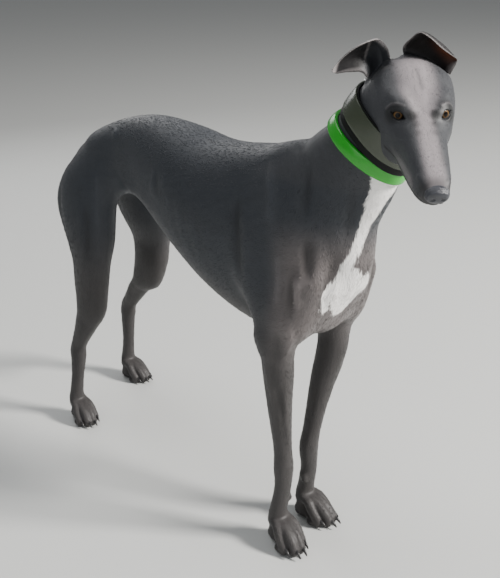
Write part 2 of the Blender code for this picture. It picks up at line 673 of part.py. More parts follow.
def refined(obj, chosen):
    """Halves the mesh where chosen, a test of an array of points, holds for a face's middle."""
    made = bmesh.new()
    made.from_mesh(obj.data)
    centres = np.array([face.calc_center_median() for face in made.faces])
    wanted = chosen(centres)
    edges = {edge for face, yes in zip(made.faces, wanted) if yes for edge in face.edges}
    bmesh.ops.subdivide_edges(made, edges=list(edges), cuts=1, use_grid_fill=True)
    made.to_mesh(obj.data)
    made.free()
    return obj


def skinned(name, form, voxel):
    """The closed surface of the smooth union: settled once, meshed afresh, and settled again."""
    plain = (form[0], (), ())
    obj = settle(rough(name, form[0], voxel), plain, rounds=5)
    remesh = obj.modifiers.new("Again", "REMESH")
    remesh.mode = "VOXEL"
    remesh.voxel_size = voxel
    return settle(applied(obj), form, rounds=3)


def all_folds(form):
    """The folds of both sides, laid on the surface."""
    folds = []
    for width, depth, points in FOLDS:
        for s in (1, -1):
            line = on_surface([(s * x, y, z) for x, y, z in points], form)
            folds.append(Fold(line, width, depth))
    for width, depth, points in MIDDLE_FOLDS:
        folds.append(Fold(on_surface(points, form), width, depth))
    return folds


def remove(obj):
    bpy.data.objects.remove(obj, do_unlink=True)


def copy_of(obj, name):
    twin = bpy.data.objects.new(name, obj.data.copy())
    bpy.context.scene.collection.objects.link(twin)
    return twin


def largest(obj):
    """Keeps only the largest closed surface of the object."""
    made = bmesh.new()
    made.from_mesh(obj.data)
    left = set(made.verts)
    groups = []
    while left:
        found = {left.pop()}
        edge = list(found)
        while edge:
            near = {e.other_vert(v) for v in edge for e in v.link_edges} - found
            found |= near
            edge = list(near)
        left -= found
        groups.append(found)
    keep = max(groups, key=len)
    spare = [v for group in groups if group is not keep for v in group]
    bmesh.ops.delete(made, geom=spare, context="VERTS")
    made.to_mesh(obj.data)
    made.free()
    return obj


def cut(obj, cutter, operation="DIFFERENCE", keep=False, solver="EXACT"):
    """The object after one Boolean with the cutter, which is removed unless it is kept."""
    boolean = obj.modifiers.new("Cut", "BOOLEAN")
    boolean.operation = operation
    boolean.solver = solver
    boolean.object = cutter
    bpy.context.view_layer.update()
    applied(obj)
    if not keep:
        remove(cutter)
    return largest(obj)


def slab(name, at, facing, across, sizes, grow=0.0):
    """A box whose near face is centred at a point; facing leads into it, across gives its width."""
    at, facing = np.array(at, float), unit(np.array(facing, float))
    across = np.array(across, float)
    across = unit(across - (across @ facing) * facing)
    other = np.cross(facing, across)
    wide, high, deep = sizes
    corners = []
    for k in (0, 1):
        base = at + facing * (deep + grow if k else -grow)
        for u, v in ((-1, -1), (1, -1), (1, 1), (-1, 1)):
            corners.append(base + u * (wide / 2 + grow) * across + v * (high / 2 + grow) * other)
    faces = [(3, 2, 1, 0), (4, 5, 6, 7), (0, 1, 5, 4), (1, 2, 6, 5), (2, 3, 7, 6), (3, 0, 4, 7)]
    return new_object(name, corners, faces)


def wedge(name, corners, front, back, s=1, grow=0.0):
    """A prism along y over a convex outline of x and z, mirrored for the right side."""
    count = len(corners)
    outline = []
    for k in range(count):
        before, here, after = (np.array(corners[(k + i) % count], float) for i in (-1, 0, 1))
        first, second = unit(here - before), unit(after - here)
        lines = np.array([(-first[1], first[0]), (-second[1], second[0])])
        middle = np.mean(corners, axis=0)
        lines *= -np.sign(lines @ (middle - here))[:, None]
        outline.append(here + np.linalg.solve(lines, (grow, grow)))
    points = [(s * x, front - grow, z) for x, z in outline]
    points += [(s * x, back + grow, z) for x, z in outline]
    faces = [tuple(range(count)), tuple(range(2 * count - 1, count - 1, -1))]
    faces += [(k, count + k, count + (k + 1) % count, (k + 1) % count) for k in range(count)]
    return outward(new_object(name, points, faces))


def parted(whole, name, shape, *box):
    """Takes the part of the whole inside a shape out as its own object, and leaves a thin gap."""
    piece = cut(copy_of(whole, name), shape("Inside", *box), "INTERSECT")
    return piece, cut(whole, shape("Outside", *box, grow=GAP))


def ball(name, at, radius, level=3):
    made = bmesh.new()
    bmesh.ops.create_icosphere(made, subdivisions=level, radius=radius)
    bmesh.ops.translate(made, verts=made.verts, vec=tuple(at))
    mesh = bpy.data.meshes.new(name)
    made.to_mesh(mesh)
    made.free()
    obj = bpy.data.objects.new(name, mesh)
    bpy.context.scene.collection.objects.link(obj)
    return obj


def turned(head, point, s=1):
    """A point of the head's frame in the world, mirrored to the right side where s is -1."""
    x, y, z = point
    return head[:3, :3] @ np.array((x, s * y, z)) + head[:3, 3]


def lid_opening(head, s):
    """An almond-shaped bar through the lids, along the way the eye looks."""
    centre = turned(head, EYE, s)
    gaze = unit(head[:3, :3] @ np.array((GAZE[0], s * GAZE[1], GAZE[2])))
    slit = head[:3, :3] @ np.array((SLIT[0], s * SLIT[1], SLIT[2]))
    slit = unit(slit - (slit @ gaze) * gaze)
    rise = np.cross(slit, gaze) * s
    long, high = EYE_OPEN
    ring = []
    for k in range(24):
        angle = 2 * math.pi * k / 24
        u, v = math.cos(angle), math.sin(angle)
        tall = high * (1.0 if v > 0 else 0.80) * v * (1 - 0.35 * u * u)
        ring.append(u * long * slit + (tall + 0.0006 * u) * rise)
    corners = [centre + p + gaze * depth for depth in (0.002, 0.040) for p in ring]
    faces = [tuple(range(24)), tuple(range(47, 23, -1))]
    faces += [(k, 24 + k, 24 + (k + 1) % 24, (k + 1) % 24) for k in range(24)]
    bar = new_object("Almond", corners, faces)
    return outward(bar)


def outward(obj):
    """Turns every face of a closed mesh outwards."""
    made = bmesh.new()
    made.from_mesh(obj.data)
    bmesh.ops.recalc_face_normals(made, faces=made.faces)
    made.to_mesh(obj.data)
    made.free()
    return obj


def rod(name, points, radius, sides=8):
    """A round bar along the points, with rounded ends, as a closed mesh."""
    rows = [(*p, radius, radius, radius) for p in points]
    side = (0.31, 0.23, 0.92)
    mass = Mass(rows, side=side, samples=3 * (len(rows) - 1) + 1)
    corners, faces = mass.tube(sides)
    return outward(new_object(name, corners, faces))


def nose_mass(head, grow=0.0):
    x, z = NOSE
    rows = [
        (x - 0.0045, 0, z + 0.0010, 0.0134 + grow, 0.0094 + grow, 0.0100 + grow),
        (x - 0.001, 0, z + 0.0006, 0.0156 + grow, 0.0108 + grow, 0.0110 + grow),
        (x + 0.004, 0, z, 0.0160 + grow, 0.0110 + grow, 0.0108 + grow),
        (x + 0.007, 0, z - 0.0004, 0.0142 + grow, 0.0098 + grow, 0.0094 + grow),
    ]
    cap = 0.0040 + grow
    return placed(rows, head, (0, 1, 0), power=2.3, cap=cap, axis=(1, 0, 0), samples=5)


def nose_object(name, head, grow=0.0):
    corners, faces = nose_mass(head, grow).tube(18)
    return outward(new_object(name, corners, faces))


def nostril(head, s):
    x, z = NOSE
    points = [
        (x + 0.017, 0.0058, z - 0.0022),
        (x + 0.009, 0.0066, z - 0.0012),
        (x + 0.005, 0.0112, z + 0.0006),
        (x + 0.000, 0.0172, z + 0.0016),
    ]
    return rod("Nostril", [turned(head, p, s) for p in points], 0.0027, 10)


def mouth_line(head, form):
    """The line between the lips: round the front of the muzzle and back to below each eye."""
    points = [turned(head, p, -1) for p in reversed(MOUTH)] + [turned(head, p) for p in MOUTH[1:]]
    return on_surface(points, form)


def ear_object(name, head, s):
    """The ear as a cupped leaf, folded over at its peak, with the same triangles on both faces."""
    outer, middle, inner = (spline(rows, 15) for rows in EARS[s])
    steps = 7
    corners = []
    for low, deep, high in zip(outer, middle, inner):
        for t in np.linspace(-1, 1, steps):
            flat = deep + t * (high - low) / 2 + t * t * ((high + low) / 2 - deep)
            corners.append(turned(head, flat, s))
    faces = []
    for i in range(len(outer) - 1):
        for k in range(steps - 1):
            a, b = i * steps + k, i * steps + k + 1
            faces += [(a, b, b + steps), (a, b + steps, a + steps)]
    leaf = new_object(name, corners, faces)
    thick = leaf.modifiers.new("Thick", "SOLIDIFY")
    thick.thickness = EAR_THICK
    thick.offset = 0
    return outward(applied(leaf))


def band_rings(collar, form, sides=42):
    """The band's inner line at its two edges, which follow the neck, and the way it grows outwards."""
    axis = unit(np.array(collar["axis"], float))
    first = unit(np.cross(axis, (1.0, 0, 0)))
    second = np.cross(axis, first)
    angles = np.arange(sides) * 2 * math.pi / sides
    rays = np.outer(np.cos(angles), first) + np.outer(np.sin(angles), second)
    radii = []
    throat = [neck(head_frame())]
    for along in (-0.5, -0.25, 0.0, 0.25, 0.5):
        centre = np.array(collar["at"]) + along * collar["width"] * axis
        slim = np.full(sides, 0.030)
        reach = np.full(sides, 0.030)
        for _ in range(40):
            slim = slim + np.clip(-field(centre + rays * slim[:, None], throat), -0.006, 0.006)
            value = field(centre + rays * reach[:, None], *form)
            reach = reach + np.clip(-value, -0.006, 0.006)
        radii.append(np.minimum(reach, slim + 0.008) + COLLAR_EASE)
    low, high = radii[0], radii[-1]
    spare = [radii[k] - low - (high - low) * k / 4 for k in (1, 2, 3)]
    lift = np.maximum(0, np.max(spare, axis=0))
    low, high = low + lift, high + lift
    for _ in range(4):
        low = np.maximum(low, (np.roll(low, 1) + np.roll(low, -1)) / 2)
        high = np.maximum(high, (np.roll(high, 1) + np.roll(high, -1)) / 2)
    return axis, rays, low, high


def band_object(name, collar, form, grow=0.0):
    axis, rays, low, high = band_rings(collar, form)
    width, thick = collar["width"] + 2 * grow, collar["thick"]
    soft = thick * 0.32
    profile = [
        (-0.5 * width + soft, -grow), (0.5 * width - soft, -grow), (0.5 * width, soft),
        (0.5 * width, thick - soft), (0.5 * width - soft, thick + grow),
        (-0.5 * width + soft, thick + grow), (-0.5 * width, thick - soft), (-0.5 * width, soft),
    ]
    sides, count = len(rays), len(profile)
    corners = []
    for ray, a, b in zip(rays, low, high):
        for along, out in profile:
            t = along / collar["width"] + 0.5
            corners.append(np.array(collar["at"]) + along * axis + (a + (b - a) * t + out) * ray)
    faces = []
    for r in range(sides):
        for k in range(count):
            a, b = r * count + k, r * count + (k + 1) % count
            c, d = ((r + 1) % sides) * count + (k + 1) % count, ((r + 1) % sides) * count + k
            faces.append((a, b, c, d))
    return outward(new_object(name, corners, faces))


def fitting_frame(collar, form, angle, out):
    """Where a fitting lies on a band: centre, the way out, along the axis, and along the band."""
    axis, rays, low, high = band_rings(collar, form)
    k = int(angle / 360 * len(rays)) % len(rays)
    ray = rays[k]
    centre = np.array(collar["at"]) + ((low[k] + high[k]) / 2 + collar["thick"] + out) * ray
    return centre, ray, axis, np.cross(axis, ray)


def hoop(name, centre, flat, up, wide, high, radius):
    """A rounded rectangular ring of round wire in the plane of flat and up."""
    rows = []
    for k in range(24):
        angle = 2 * math.pi * k / 24
        c, s = math.cos(angle), math.sin(angle)
        u = math.copysign(abs(c) ** 0.5, c) * wide / 2
        v = math.copysign(abs(s) ** 0.5, s) * high / 2
        rows.append(centre + u * flat + v * up)
    curve = bpy.data.curves.new(name, "CURVE")
    curve.dimensions = "3D"
    line = curve.splines.new("POLY")
    line.points.add(23)
    for point, row in zip(line.points, rows):
        point.co = (*row, 1)
    line.use_cyclic_u = True
    curve.bevel_depth = radius
    curve.bevel_resolution = 1
    obj = bpy.data.objects.new(name, curve)
    bpy.context.scene.collection.objects.link(obj)
    bpy.context.view_layer.update()
    mesh = bpy.data.meshes.new_from_object(obj.evaluated_get(bpy.context.evaluated_depsgraph_get()))
    remove(obj)
    made = bpy.data.objects.new(name, mesh)
    bpy.context.scene.collection.objects.link(made)
    return outward(made)


def material(name, colour, rough, metal=0.0):
    made = bpy.data.materials.new(name)
    made.use_nodes = True
    surface = made.node_tree.nodes["Principled BSDF"]
    surface.inputs["Base Color"].default_value = (*colour, 1)
    surface.inputs["Roughness"].default_value = rough
    surface.inputs["Metallic"].default_value = metal
    made.diffuse_color = (*colour, 1)
    return made


def main():
    for obj in list(bpy.data.objects):
        remove(obj)
    head = head_frame()
    masses = body_masses(head)
    form = (masses, (), all_folds((masses, (), ())))
    dog = skinned("dog", form, BODY_VOXEL)

    def fine(points):
        forward = (points - head[:3, 3]) @ head[:3, 0]
        return (points[:, 2] < 0.066) | ((forward > -0.105) & (points[:, 2] > 0.66))

    settle(refined(dog, fine), form, rounds=3)
    fewer = dog.modifiers.new("Fewer", "DECIMATE")
    fewer.ratio = DOG_FACES / sum(len(p.vertices) - 2 for p in dog.data.polygons)
    applied(dog)
    cut(dog, slab("Floor", (0, 0.2, 0), (0, 0, -1), (1, 0, 0), (2, 3, 0.1)))

    cheeks = (head_masses(head), (), ())
    trim = rough("trim", cheeks[0], 0.004)
    settle(trim, cheeks, rounds=4, inset=-CHEEK_CLEAR)
    shell = copy_of(dog, "shell")
    swell = shell.modifiers.new("Swell", "DISPLACE")
    swell.strength = GAP + 0.0001
    swell.mid_level = 0
    applied(shell)

    nodes = {}
    nodes["tail"], dog = parted(dog, "tail", slab, *TAIL_BOX)
    for s, word in ((RIGHT, "right"), (LEFT, "left")):
        for kind, shape in (("fore_leg", FORE_WEDGE), ("hind_leg", HIND_WEDGE)):
            name = kind + "_" + word
            nodes[name], dog = parted(dog, name, wedge, *shape, s)
            leg = LEGS[s]
            place = kind[:4]
            for claw in claws(*leg[place + "_paw"], leg[place + "_out"], PAW_SCALE[place]):
                corners, faces = claw.tube(6)
                point = outward(new_object("Claw", corners, faces))
                cut(nodes[name], point, "UNION")
            cut(nodes[name], slab("Floor", (0, 0.2, 0), (0, 0, -1), (1, 0, 0), (2, 3, 0.1)))
    front, dog = parted(dog, "front", slab, *NECK_BOX)
    dog.name = "torso"
    nodes["torso"] = dog
    nodes["head"], nodes["neck"] = parted(front, "head", slab, *HEAD_BOX)

    skull = nodes["head"]
    for s, word in ((RIGHT, "right"), (LEFT, "left")):
        centre = turned(head, EYE, s)
        nodes["eye_" + word] = ball("eye_" + word, centre, EYE_RADIUS)
        cut(skull, lid_opening(head, s))
        cut(skull, ball("Socket", centre, EYE_RADIUS + GAP))
        ear = ear_object("ear_" + word, head, s)
        nodes["ear_" + word] = cut(ear, shell, keep=True)
    nose = nose_object("nose", head)
    for s in (RIGHT, LEFT):
        cut(nose, nostril(head, s))
    nodes["nose"] = nose
    cut(skull, nose_object("Seat", head, GAP))
    cut(skull, rod("Mouth", mouth_line(head, form), MOUTH_WIDE, 8))

    for name, collar in (("collar_wide", WIDE_COLLAR), ("collar_green", SLIM_COLLAR)):
        band = cut(band_object(name, collar, form), trim, keep=True)
        nodes[name] = cut(band, shell, keep=True)
    centre, ray, axis, along = fitting_frame(WIDE_COLLAR, form, BUCKLE_ANGLE, 0.0022)
    buckle = hoop("collar_buckle", centre, along, axis, 0.024, 0.040, 0.0018)
    cut(buckle, rod("Pin", (centre - 0.012 * along, centre + 0.012 * along), 0.0013, 6), "UNION")
    nodes["collar_buckle"] = cut(buckle, band_object("Band", WIDE_COLLAR, form, GAP))
    centre, ray, axis, along = fitting_frame(WIDE_COLLAR, form, RING_ANGLE, 0.0075)
    ring = hoop("collar_ring", centre, along, ray, 0.026, 0.022, 0.0016)
    nodes["collar_ring"] = cut(ring, band_object("Band", WIDE_COLLAR, form, GAP))
    remove(shell)
    remove(trim)

    kept = bpy.data.collections.new("Greyhound")
    bpy.context.scene.collection.children.link(kept)
    for name, obj in nodes.items():
        obj.name = name
        obj.data.name = name
        obj.data.transform(Matrix.Translation((*SHIFT, 0)))
        colour, dull, metal = LOOKS[name.split("_")[0] if name not in LOOKS else name]
        obj.data.materials.clear()
        obj.data.materials.append(material(name, colour, dull, metal))
        for owner in list(obj.users_collection):
            owner.objects.unlink(obj)
        kept.objects.link(obj)


if __name__ == "__main__":
    main()
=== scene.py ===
"""Looks of the greyhound: one skin with its coat, eyes, nose, claws and collars.

A pale floor, soft light and the camera come with them. The skin is grown from the same masses as the
solids, a coat's depth inside them. Lengths are in metres.
"""

import json
import math

import bmesh
import bpy
import numpy as np
from mathutils import Matrix, Vector
from mathutils.kdtree import KDTree

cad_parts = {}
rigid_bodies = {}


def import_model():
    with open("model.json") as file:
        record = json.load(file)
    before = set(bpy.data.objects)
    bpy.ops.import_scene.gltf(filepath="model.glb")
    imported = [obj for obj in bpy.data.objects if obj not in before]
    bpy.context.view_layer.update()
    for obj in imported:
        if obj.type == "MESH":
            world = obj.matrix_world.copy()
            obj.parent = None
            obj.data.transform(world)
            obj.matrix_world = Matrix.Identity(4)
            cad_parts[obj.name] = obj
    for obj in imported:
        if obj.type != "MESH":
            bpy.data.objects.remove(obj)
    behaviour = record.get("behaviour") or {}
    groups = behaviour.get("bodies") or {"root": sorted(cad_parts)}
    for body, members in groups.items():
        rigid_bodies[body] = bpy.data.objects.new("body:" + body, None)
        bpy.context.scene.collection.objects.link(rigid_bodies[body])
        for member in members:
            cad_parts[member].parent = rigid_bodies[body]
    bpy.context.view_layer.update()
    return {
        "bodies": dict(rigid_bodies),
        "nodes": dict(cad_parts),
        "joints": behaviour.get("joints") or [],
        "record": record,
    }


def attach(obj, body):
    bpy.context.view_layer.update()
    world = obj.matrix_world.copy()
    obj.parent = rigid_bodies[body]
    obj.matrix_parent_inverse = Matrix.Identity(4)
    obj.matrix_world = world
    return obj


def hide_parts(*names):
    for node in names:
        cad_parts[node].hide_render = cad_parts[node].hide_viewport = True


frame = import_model()

RIGHT = -1
LEFT = 1
SIDES = ((RIGHT, "right"), (LEFT, "left"))

# The whole dog is moved so that its bounding box is centred on the origin.
SHIFT = (-0.0157, -0.1871)

# Trunk: place behind the withers, top, widest level, bottom, half width, power.
TRUNK = [
    (-0.106, 0.580, 0.545, 0.505, 0.026, 2.0),
    (-0.082, 0.632, 0.548, 0.455, 0.048, 2.0),
    (-0.042, 0.676, 0.550, 0.412, 0.066, 2.0),
    (0.015, 0.700, 0.556, 0.388, 0.076, 2.0),
    (0.075, 0.697, 0.560, 0.377, 0.087, 2.0),
    (0.135, 0.689, 0.565, 0.388, 0.096, 2.0),
    (0.195, 0.688, 0.574, 0.412, 0.098, 2.0),
    (0.255, 0.697, 0.586, 0.447, 0.092, 2.0),
    (0.315, 0.702, 0.598, 0.490, 0.079, 2.1),
    (0.370, 0.702, 0.610, 0.524, 0.067, 2.2),
    (0.430, 0.693, 0.612, 0.540, 0.061, 2.1),
    (0.490, 0.674, 0.606, 0.542, 0.060, 2.0),
    (0.550, 0.642, 0.590, 0.536, 0.052, 2.0),
    (0.592, 0.608, 0.568, 0.525, 0.042, 2.0),
    (0.620, 0.580, 0.550, 0.520, 0.028, 2.0),
]
KEEL = 0.25  # how much more pointed the lower half of the trunk is

# Each leg's joints: the legs stand a little apart from one another, as a dog at ease stands.
LEGS = {
    RIGHT: dict(
        shoulder=(-0.062, -0.074, 0.512),
        elbow=(-0.072, -0.016, 0.396),
        carpus=(-0.059, -0.022, 0.157),
        fore_paw=(-0.062, -0.022),
        fore_out=-10,
        hip=(-0.050, 0.523, 0.600),
        stifle=(-0.078, 0.480, 0.376),
        hock=(-0.081, 0.582, 0.168),
        hind_paw=(-0.084, 0.590),
        hind_out=-6,
    ),
    LEFT: dict(
        shoulder=(0.062, -0.070, 0.508),
        elbow=(0.068, -0.016, 0.394),
        carpus=(0.024, -0.004, 0.152),
        fore_paw=(0.027, -0.006),
        fore_out=8,
        hip=(0.050, 0.525, 0.598),
        stifle=(0.092, 0.505, 0.374),
        hock=(0.110, 0.660, 0.184),
        hind_paw=(0.114, 0.668),
        hind_out=10,
    ),
}
PAW_SCALE = {"fore": 1.0, "hind": 0.94}
TOE_STEP = 0.0125
# Toe: place across the paw in steps, how far it stands back, thickness.
TOES = ((-1.5, 0.014, 0.0098), (-0.52, 0.0, 0.0108), (0.52, 0.0, 0.0108), (1.5, 0.014, 0.0098))

# Grooves of the right side, which the left mirrors: width, depth (less than 0 stands proud), points.
FOLDS = [
    (0.009, 0.0068, [(-0.065, -0.079, 0.590), (-0.069, -0.081, 0.564), (-0.078, -0.088, 0.523)]),
    (0.008, 0.0060, [(-0.082, -0.069, 0.547), (-0.090, -0.065, 0.520), (-0.096, -0.064, 0.465)]),
    (0.009, 0.0055, [(-0.042, -0.116, 0.575), (-0.052, -0.110, 0.530), (-0.060, -0.086, 0.460)]),
    (0.007, 0.0040, [(-0.092, -0.046, 0.440), (-0.092, -0.040, 0.405), (-0.088, -0.036, 0.370)]),
    (0.006, -0.0026, [(-0.089, -0.020, 0.400), (-0.084, -0.020, 0.350), (-0.078, -0.026, 0.290)]),
    (0.011, 0.0044, [(-0.068, 0.068, 0.630), (-0.090, 0.055, 0.560), (-0.094, 0.050, 0.480)]),
    (0.008, -0.0028, [(-0.049, 0.015, 0.688), (-0.073, -0.009, 0.643), (-0.084, -0.020, 0.592)]),
    (0.009, 0.0034, [(-0.055, -0.060, 0.700), (-0.060, -0.066, 0.650), (-0.066, -0.070, 0.610)]),
    (0.009, 0.0026, [(-0.030, -0.140, 0.680), (-0.034, -0.132, 0.630), (-0.036, -0.122, 0.580)]),
    (0.007, 0.0016, [(-0.081, 0.269, 0.635), (-0.090, 0.257, 0.609), (-0.094, 0.252, 0.584)]),
    (0.010, 0.0034, [(-0.092, 0.483, 0.535), (-0.101, 0.476, 0.478), (-0.106, 0.471, 0.408)]),
    (0.010, 0.0030, [(-0.080, 0.580, 0.560), (-0.090, 0.566, 0.480), (-0.088, 0.552, 0.410)]),
    (0.012, -0.0030, [(-0.050, 0.428, 0.676), (-0.056, 0.440, 0.664)]),
    (0.006, 0.0030, [(-0.082, -0.030, 0.340), (-0.073, -0.036, 0.270), (-0.066, -0.034, 0.190)]),
    (0.008, 0.0022, [(-0.050, -0.108, 0.500), (-0.046, -0.096, 0.460), (-0.050, -0.070, 0.425)]),
]
MIDDLE_FOLDS = [
    (0.010, 0.0030, [(0.0, -0.128, 0.560), (0.0, -0.126, 0.500), (0.0, -0.095, 0.430)]),
    (0.008, 0.0014, [(0.0, 0.300, 0.702), (0.0, 0.420, 0.696), (0.0, 0.520, 0.660)]),
]

# The head's own frame: x runs forward along the muzzle, y to the dog's left, z up, from between the eyes.
HEAD_AT = (-0.020, -0.233, 0.787)
HEAD_TURN = 40.2
HEAD_DROP = 28.0

# Head: forward of the eyes, top, bottom, half width, power.
SKULL = [
    (0.124, -0.0075, -0.043, 0.0182, 2.5),
    (0.112, -0.0045, -0.052, 0.0218, 2.6),
    (0.095, -0.002, -0.0595, 0.0250, 2.7),
    (0.070, 0.001, -0.0665, 0.0282, 2.7),
    (0.045, 0.004, -0.072, 0.0312, 2.6),
    (0.020, 0.008, -0.077, 0.0355, 2.4),
    (0.000, 0.013, -0.0785, 0.0400, 2.3),
    (-0.025, 0.018, -0.078, 0.0455, 2.2),
    (-0.050, 0.021, -0.073, 0.0488, 2.2),
    (-0.075, 0.020, -0.058, 0.0470, 2.2),
    (-0.098, 0.013, -0.042, 0.0390, 2.1),
    (-0.112, 0.002, -0.030, 0.0290, 2.0),
]
EYE = (-0.0050, 0.0280, -0.0022)
EYE_RADIUS = 0.0110
LID = 0.0018
GAZE = (0.80, 0.32, 0.46)
SLIT = (-0.42, 0.86, 0.16)  # runs from the inner to the outer corner of the lids
EYE_OPEN = (0.0096, 0.0064)  # half length and half height between the lids
NOSE = (0.1262, -0.0198)

# Each ear from its root to its tip, in the head's frame with y away from the middle: its outer margin,
# the back of its cup, and its inner margin, which runs up over the peak of the fold.
EARS = {
    RIGHT: (
        [
            (-0.080, 0.044, -0.022), (-0.084, 0.058, -0.006),
            (-0.085, 0.063, 0.002), (-0.086, 0.070, 0.0055),
            (-0.086, 0.079, 0.0055), (-0.086, 0.090, 0.0050),
            (-0.086, 0.101, 0.0035), (-0.086, 0.108, 0.0065),
        ],
        [
            (-0.100, 0.030, -0.014), (-0.111, 0.040, 0.005), (-0.115, 0.047, 0.020), (-0.112, 0.058, 0.028),
            (-0.105, 0.070, 0.028), (-0.099, 0.084, 0.024), (-0.093, 0.098, 0.016), (-0.0865, 0.1083, 0.0085),
        ],
        [
            (-0.088, 0.024, 0.000), (-0.095, 0.028, 0.020), (-0.097, 0.034, 0.036), (-0.097, 0.046, 0.049),
            (-0.095, 0.062, 0.047), (-0.092, 0.079, 0.040), (-0.089, 0.095, 0.027), (-0.086, 0.108, 0.0105),
        ],
    ),
    LEFT: (
        [
            (-0.080, 0.044, -0.024), (-0.082, 0.053, -0.008), (-0.083, 0.056, 0.000), (-0.084, 0.058, 0.006),
            (-0.085, 0.060, 0.011), (-0.0855, 0.0615, 0.015),
            (-0.086, 0.062, 0.0185), (-0.086, 0.062, 0.0205),
        ],
        [
            (-0.102, 0.020, -0.012), (-0.115, 0.021, 0.008), (-0.118, 0.026, 0.024), (-0.114, 0.033, 0.034),
            (-0.106, 0.042, 0.034), (-0.099, 0.050, 0.030), (-0.092, 0.057, 0.025), (-0.0865, 0.0615, 0.0222),
        ],
        [
            (-0.098, 0.002, 0.000), (-0.108, -0.010, 0.026), (-0.104, -0.002, 0.046), (-0.098, 0.006, 0.058),
            (-0.093, 0.020, 0.053), (-0.090, 0.036, 0.040), (-0.088, 0.052, 0.029), (-0.086, 0.061, 0.0240),
        ],
    ),
}

# Tail: x, y, z, half width, reach ahead, reach behind.
TAIL = [
    (0.000, 0.585, 0.590, 0.026, 0.026, 0.026),
    (0.000, 0.626, 0.560, 0.0175, 0.0185, 0.0185),
    (-0.004, 0.644, 0.500, 0.0130, 0.0135, 0.0135),
    (-0.008, 0.652, 0.420, 0.0105, 0.0110, 0.0110),
    (-0.012, 0.655, 0.340, 0.0085, 0.0085, 0.0085),
    (-0.014, 0.660, 0.260, 0.0065, 0.0065, 0.0065),
    (-0.014, 0.676, 0.200, 0.0045, 0.0045, 0.0045),
    (-0.012, 0.702, 0.165, 0.0028, 0.0028, 0.0028),
]

# Collars: centre, the way each band's axis points, width and thickness.
WIDE_COLLAR = dict(at=(0.011, -0.150, 0.766), axis=(0.06, -0.65, 0.76), width=0.036, thick=0.0032)
SLIM_COLLAR = dict(at=(0.0074, -0.1274, 0.729), axis=(0.07, -0.56, 0.83), width=0.020, thick=0.0040)
COLLAR_EASE = 0.0016  # how far the solids' bands lie off the neck
BAND_STEPS = 96
BUCKLE_ANGLE = 300  # where the fittings sit round the wide collar, in degrees
RING_ANGLE = 340

# The line of the mouth, from the front of the lips back along the left side, in the head's frame.
MOUTH = [
    (0.124, 0.000, -0.0325),
    (0.116, 0.0130, -0.0360),
    (0.098, 0.0195, -0.0415),
    (0.072, 0.0240, -0.0465),
    (0.046, 0.0275, -0.0500),
    (0.022, 0.0320, -0.0495),
    (0.004, 0.0350, -0.0455),
]

COAT_DEPTH = 0.0012  # how far the skin lies inside the solids
SKIN_VOXEL = 0.0050
HEAD_START = -0.118  # in the head's frame, where the finer mesh of the head begins
LIP_GROOVE = (0.0017, 0.0024)  # width and depth
SOFTER = 0.95  # how deep the folds are in the skin, as a share of the solids'
GROOVE_PAINTED_SHADE = (0.50, 0.004)  # painted shade in the grooves: how much darker a groove of this depth is painted, and ridges lighter
EXTRA_FOLDS = [
    (0.0055, -0.0046, [(-0.084, -0.063, 0.536), (-0.088, -0.077, 0.515), (-0.089, -0.079, 0.478)]),
    (0.0050, 0.0046, [(-0.090, -0.062, 0.520), (-0.093, -0.068, 0.490), (-0.093, -0.066, 0.462)]),
    (0.0055, -0.0042, [(-0.094, -0.064, 0.453), (-0.088, -0.064, 0.428), (-0.082, -0.052, 0.390)]),
    (0.0060, 0.0036, [(-0.066, -0.080, 0.587), (-0.074, -0.086, 0.556), (-0.078, -0.088, 0.527)]),
    (0.0060, -0.0028, [(-0.086, -0.030, 0.560), (-0.094, -0.035, 0.520), (-0.096, -0.040, 0.470)]),
    (0.0050, -0.0016, [(-0.080, 0.271, 0.635), (-0.086, 0.270, 0.612), (-0.087, 0.280, 0.590)]),
    (0.0050, -0.0016, [(-0.085, 0.234, 0.632), (-0.091, 0.239, 0.606)]),
    (0.0070, -0.0018, [(-0.068, 0.475, 0.611), (-0.083, 0.460, 0.538), (-0.091, 0.452, 0.461)]),
    (0.008, 0.0008, [(-0.094, 0.150, 0.600), (-0.101, 0.140, 0.540), (-0.094, 0.130, 0.470)]),
    (0.008, 0.0008, [(-0.094, 0.180, 0.610), (-0.102, 0.172, 0.550), (-0.094, 0.162, 0.480)]),
    (0.008, 0.0008, [(-0.094, 0.210, 0.615), (-0.101, 0.204, 0.560), (-0.092, 0.196, 0.500)]),
    (0.008, 0.0007, [(-0.090, 0.240, 0.620), (-0.096, 0.236, 0.570), (-0.086, 0.228, 0.520)]),
    (0.0045, -0.0030, [(-0.080, -0.045, 0.330), (-0.074, -0.044, 0.270), (-0.068, -0.043, 0.215)]),
]
# More folds, in the head's frame: the furrow of the forehead, and on each side the crease over the eye
# and a swelling by the nose.
FURROW = (0.0022, 0.0007, [(-0.030, 0.003, 0.020), (-0.046, 0.002, 0.024), (-0.062, 0.000, 0.027)])
BROW = (0.0024, -0.0007, [
    (-0.012, 0.0446, 0.0026), (-0.011, 0.040, 0.0098), (-0.006, 0.033, 0.0148), (-0.001, 0.025, 0.0160),
])
PAD = (0.0040, -0.0010, [(0.104, 0.0200, -0.012), (0.117, 0.0160, -0.012)])
# Painted light along the side of the upper lip: a chain of points in the head's frame, each with a radius.
FLEWS = [
    (0.020, 0.0374, -0.0426, 0.0), (0.034, 0.0320, -0.0445, 0.0),
    (0.063, 0.0288, -0.0380, 0.0), (0.091, 0.0254, -0.0330, 0.0),
]
EAR_SKIN = 0.0017
LID_HIGH = (0.80, 0.84)  # how much of the opening's half height is left above and below the slit
EAR_GRID = (44, 23)
EAR_INNER = {RIGHT: 1.0, LEFT: 1.0}  # which face of the leaf is the cup

DARK_BAND_BELOW = 0.0085  # how far the near-black band under the wide collar shows below it
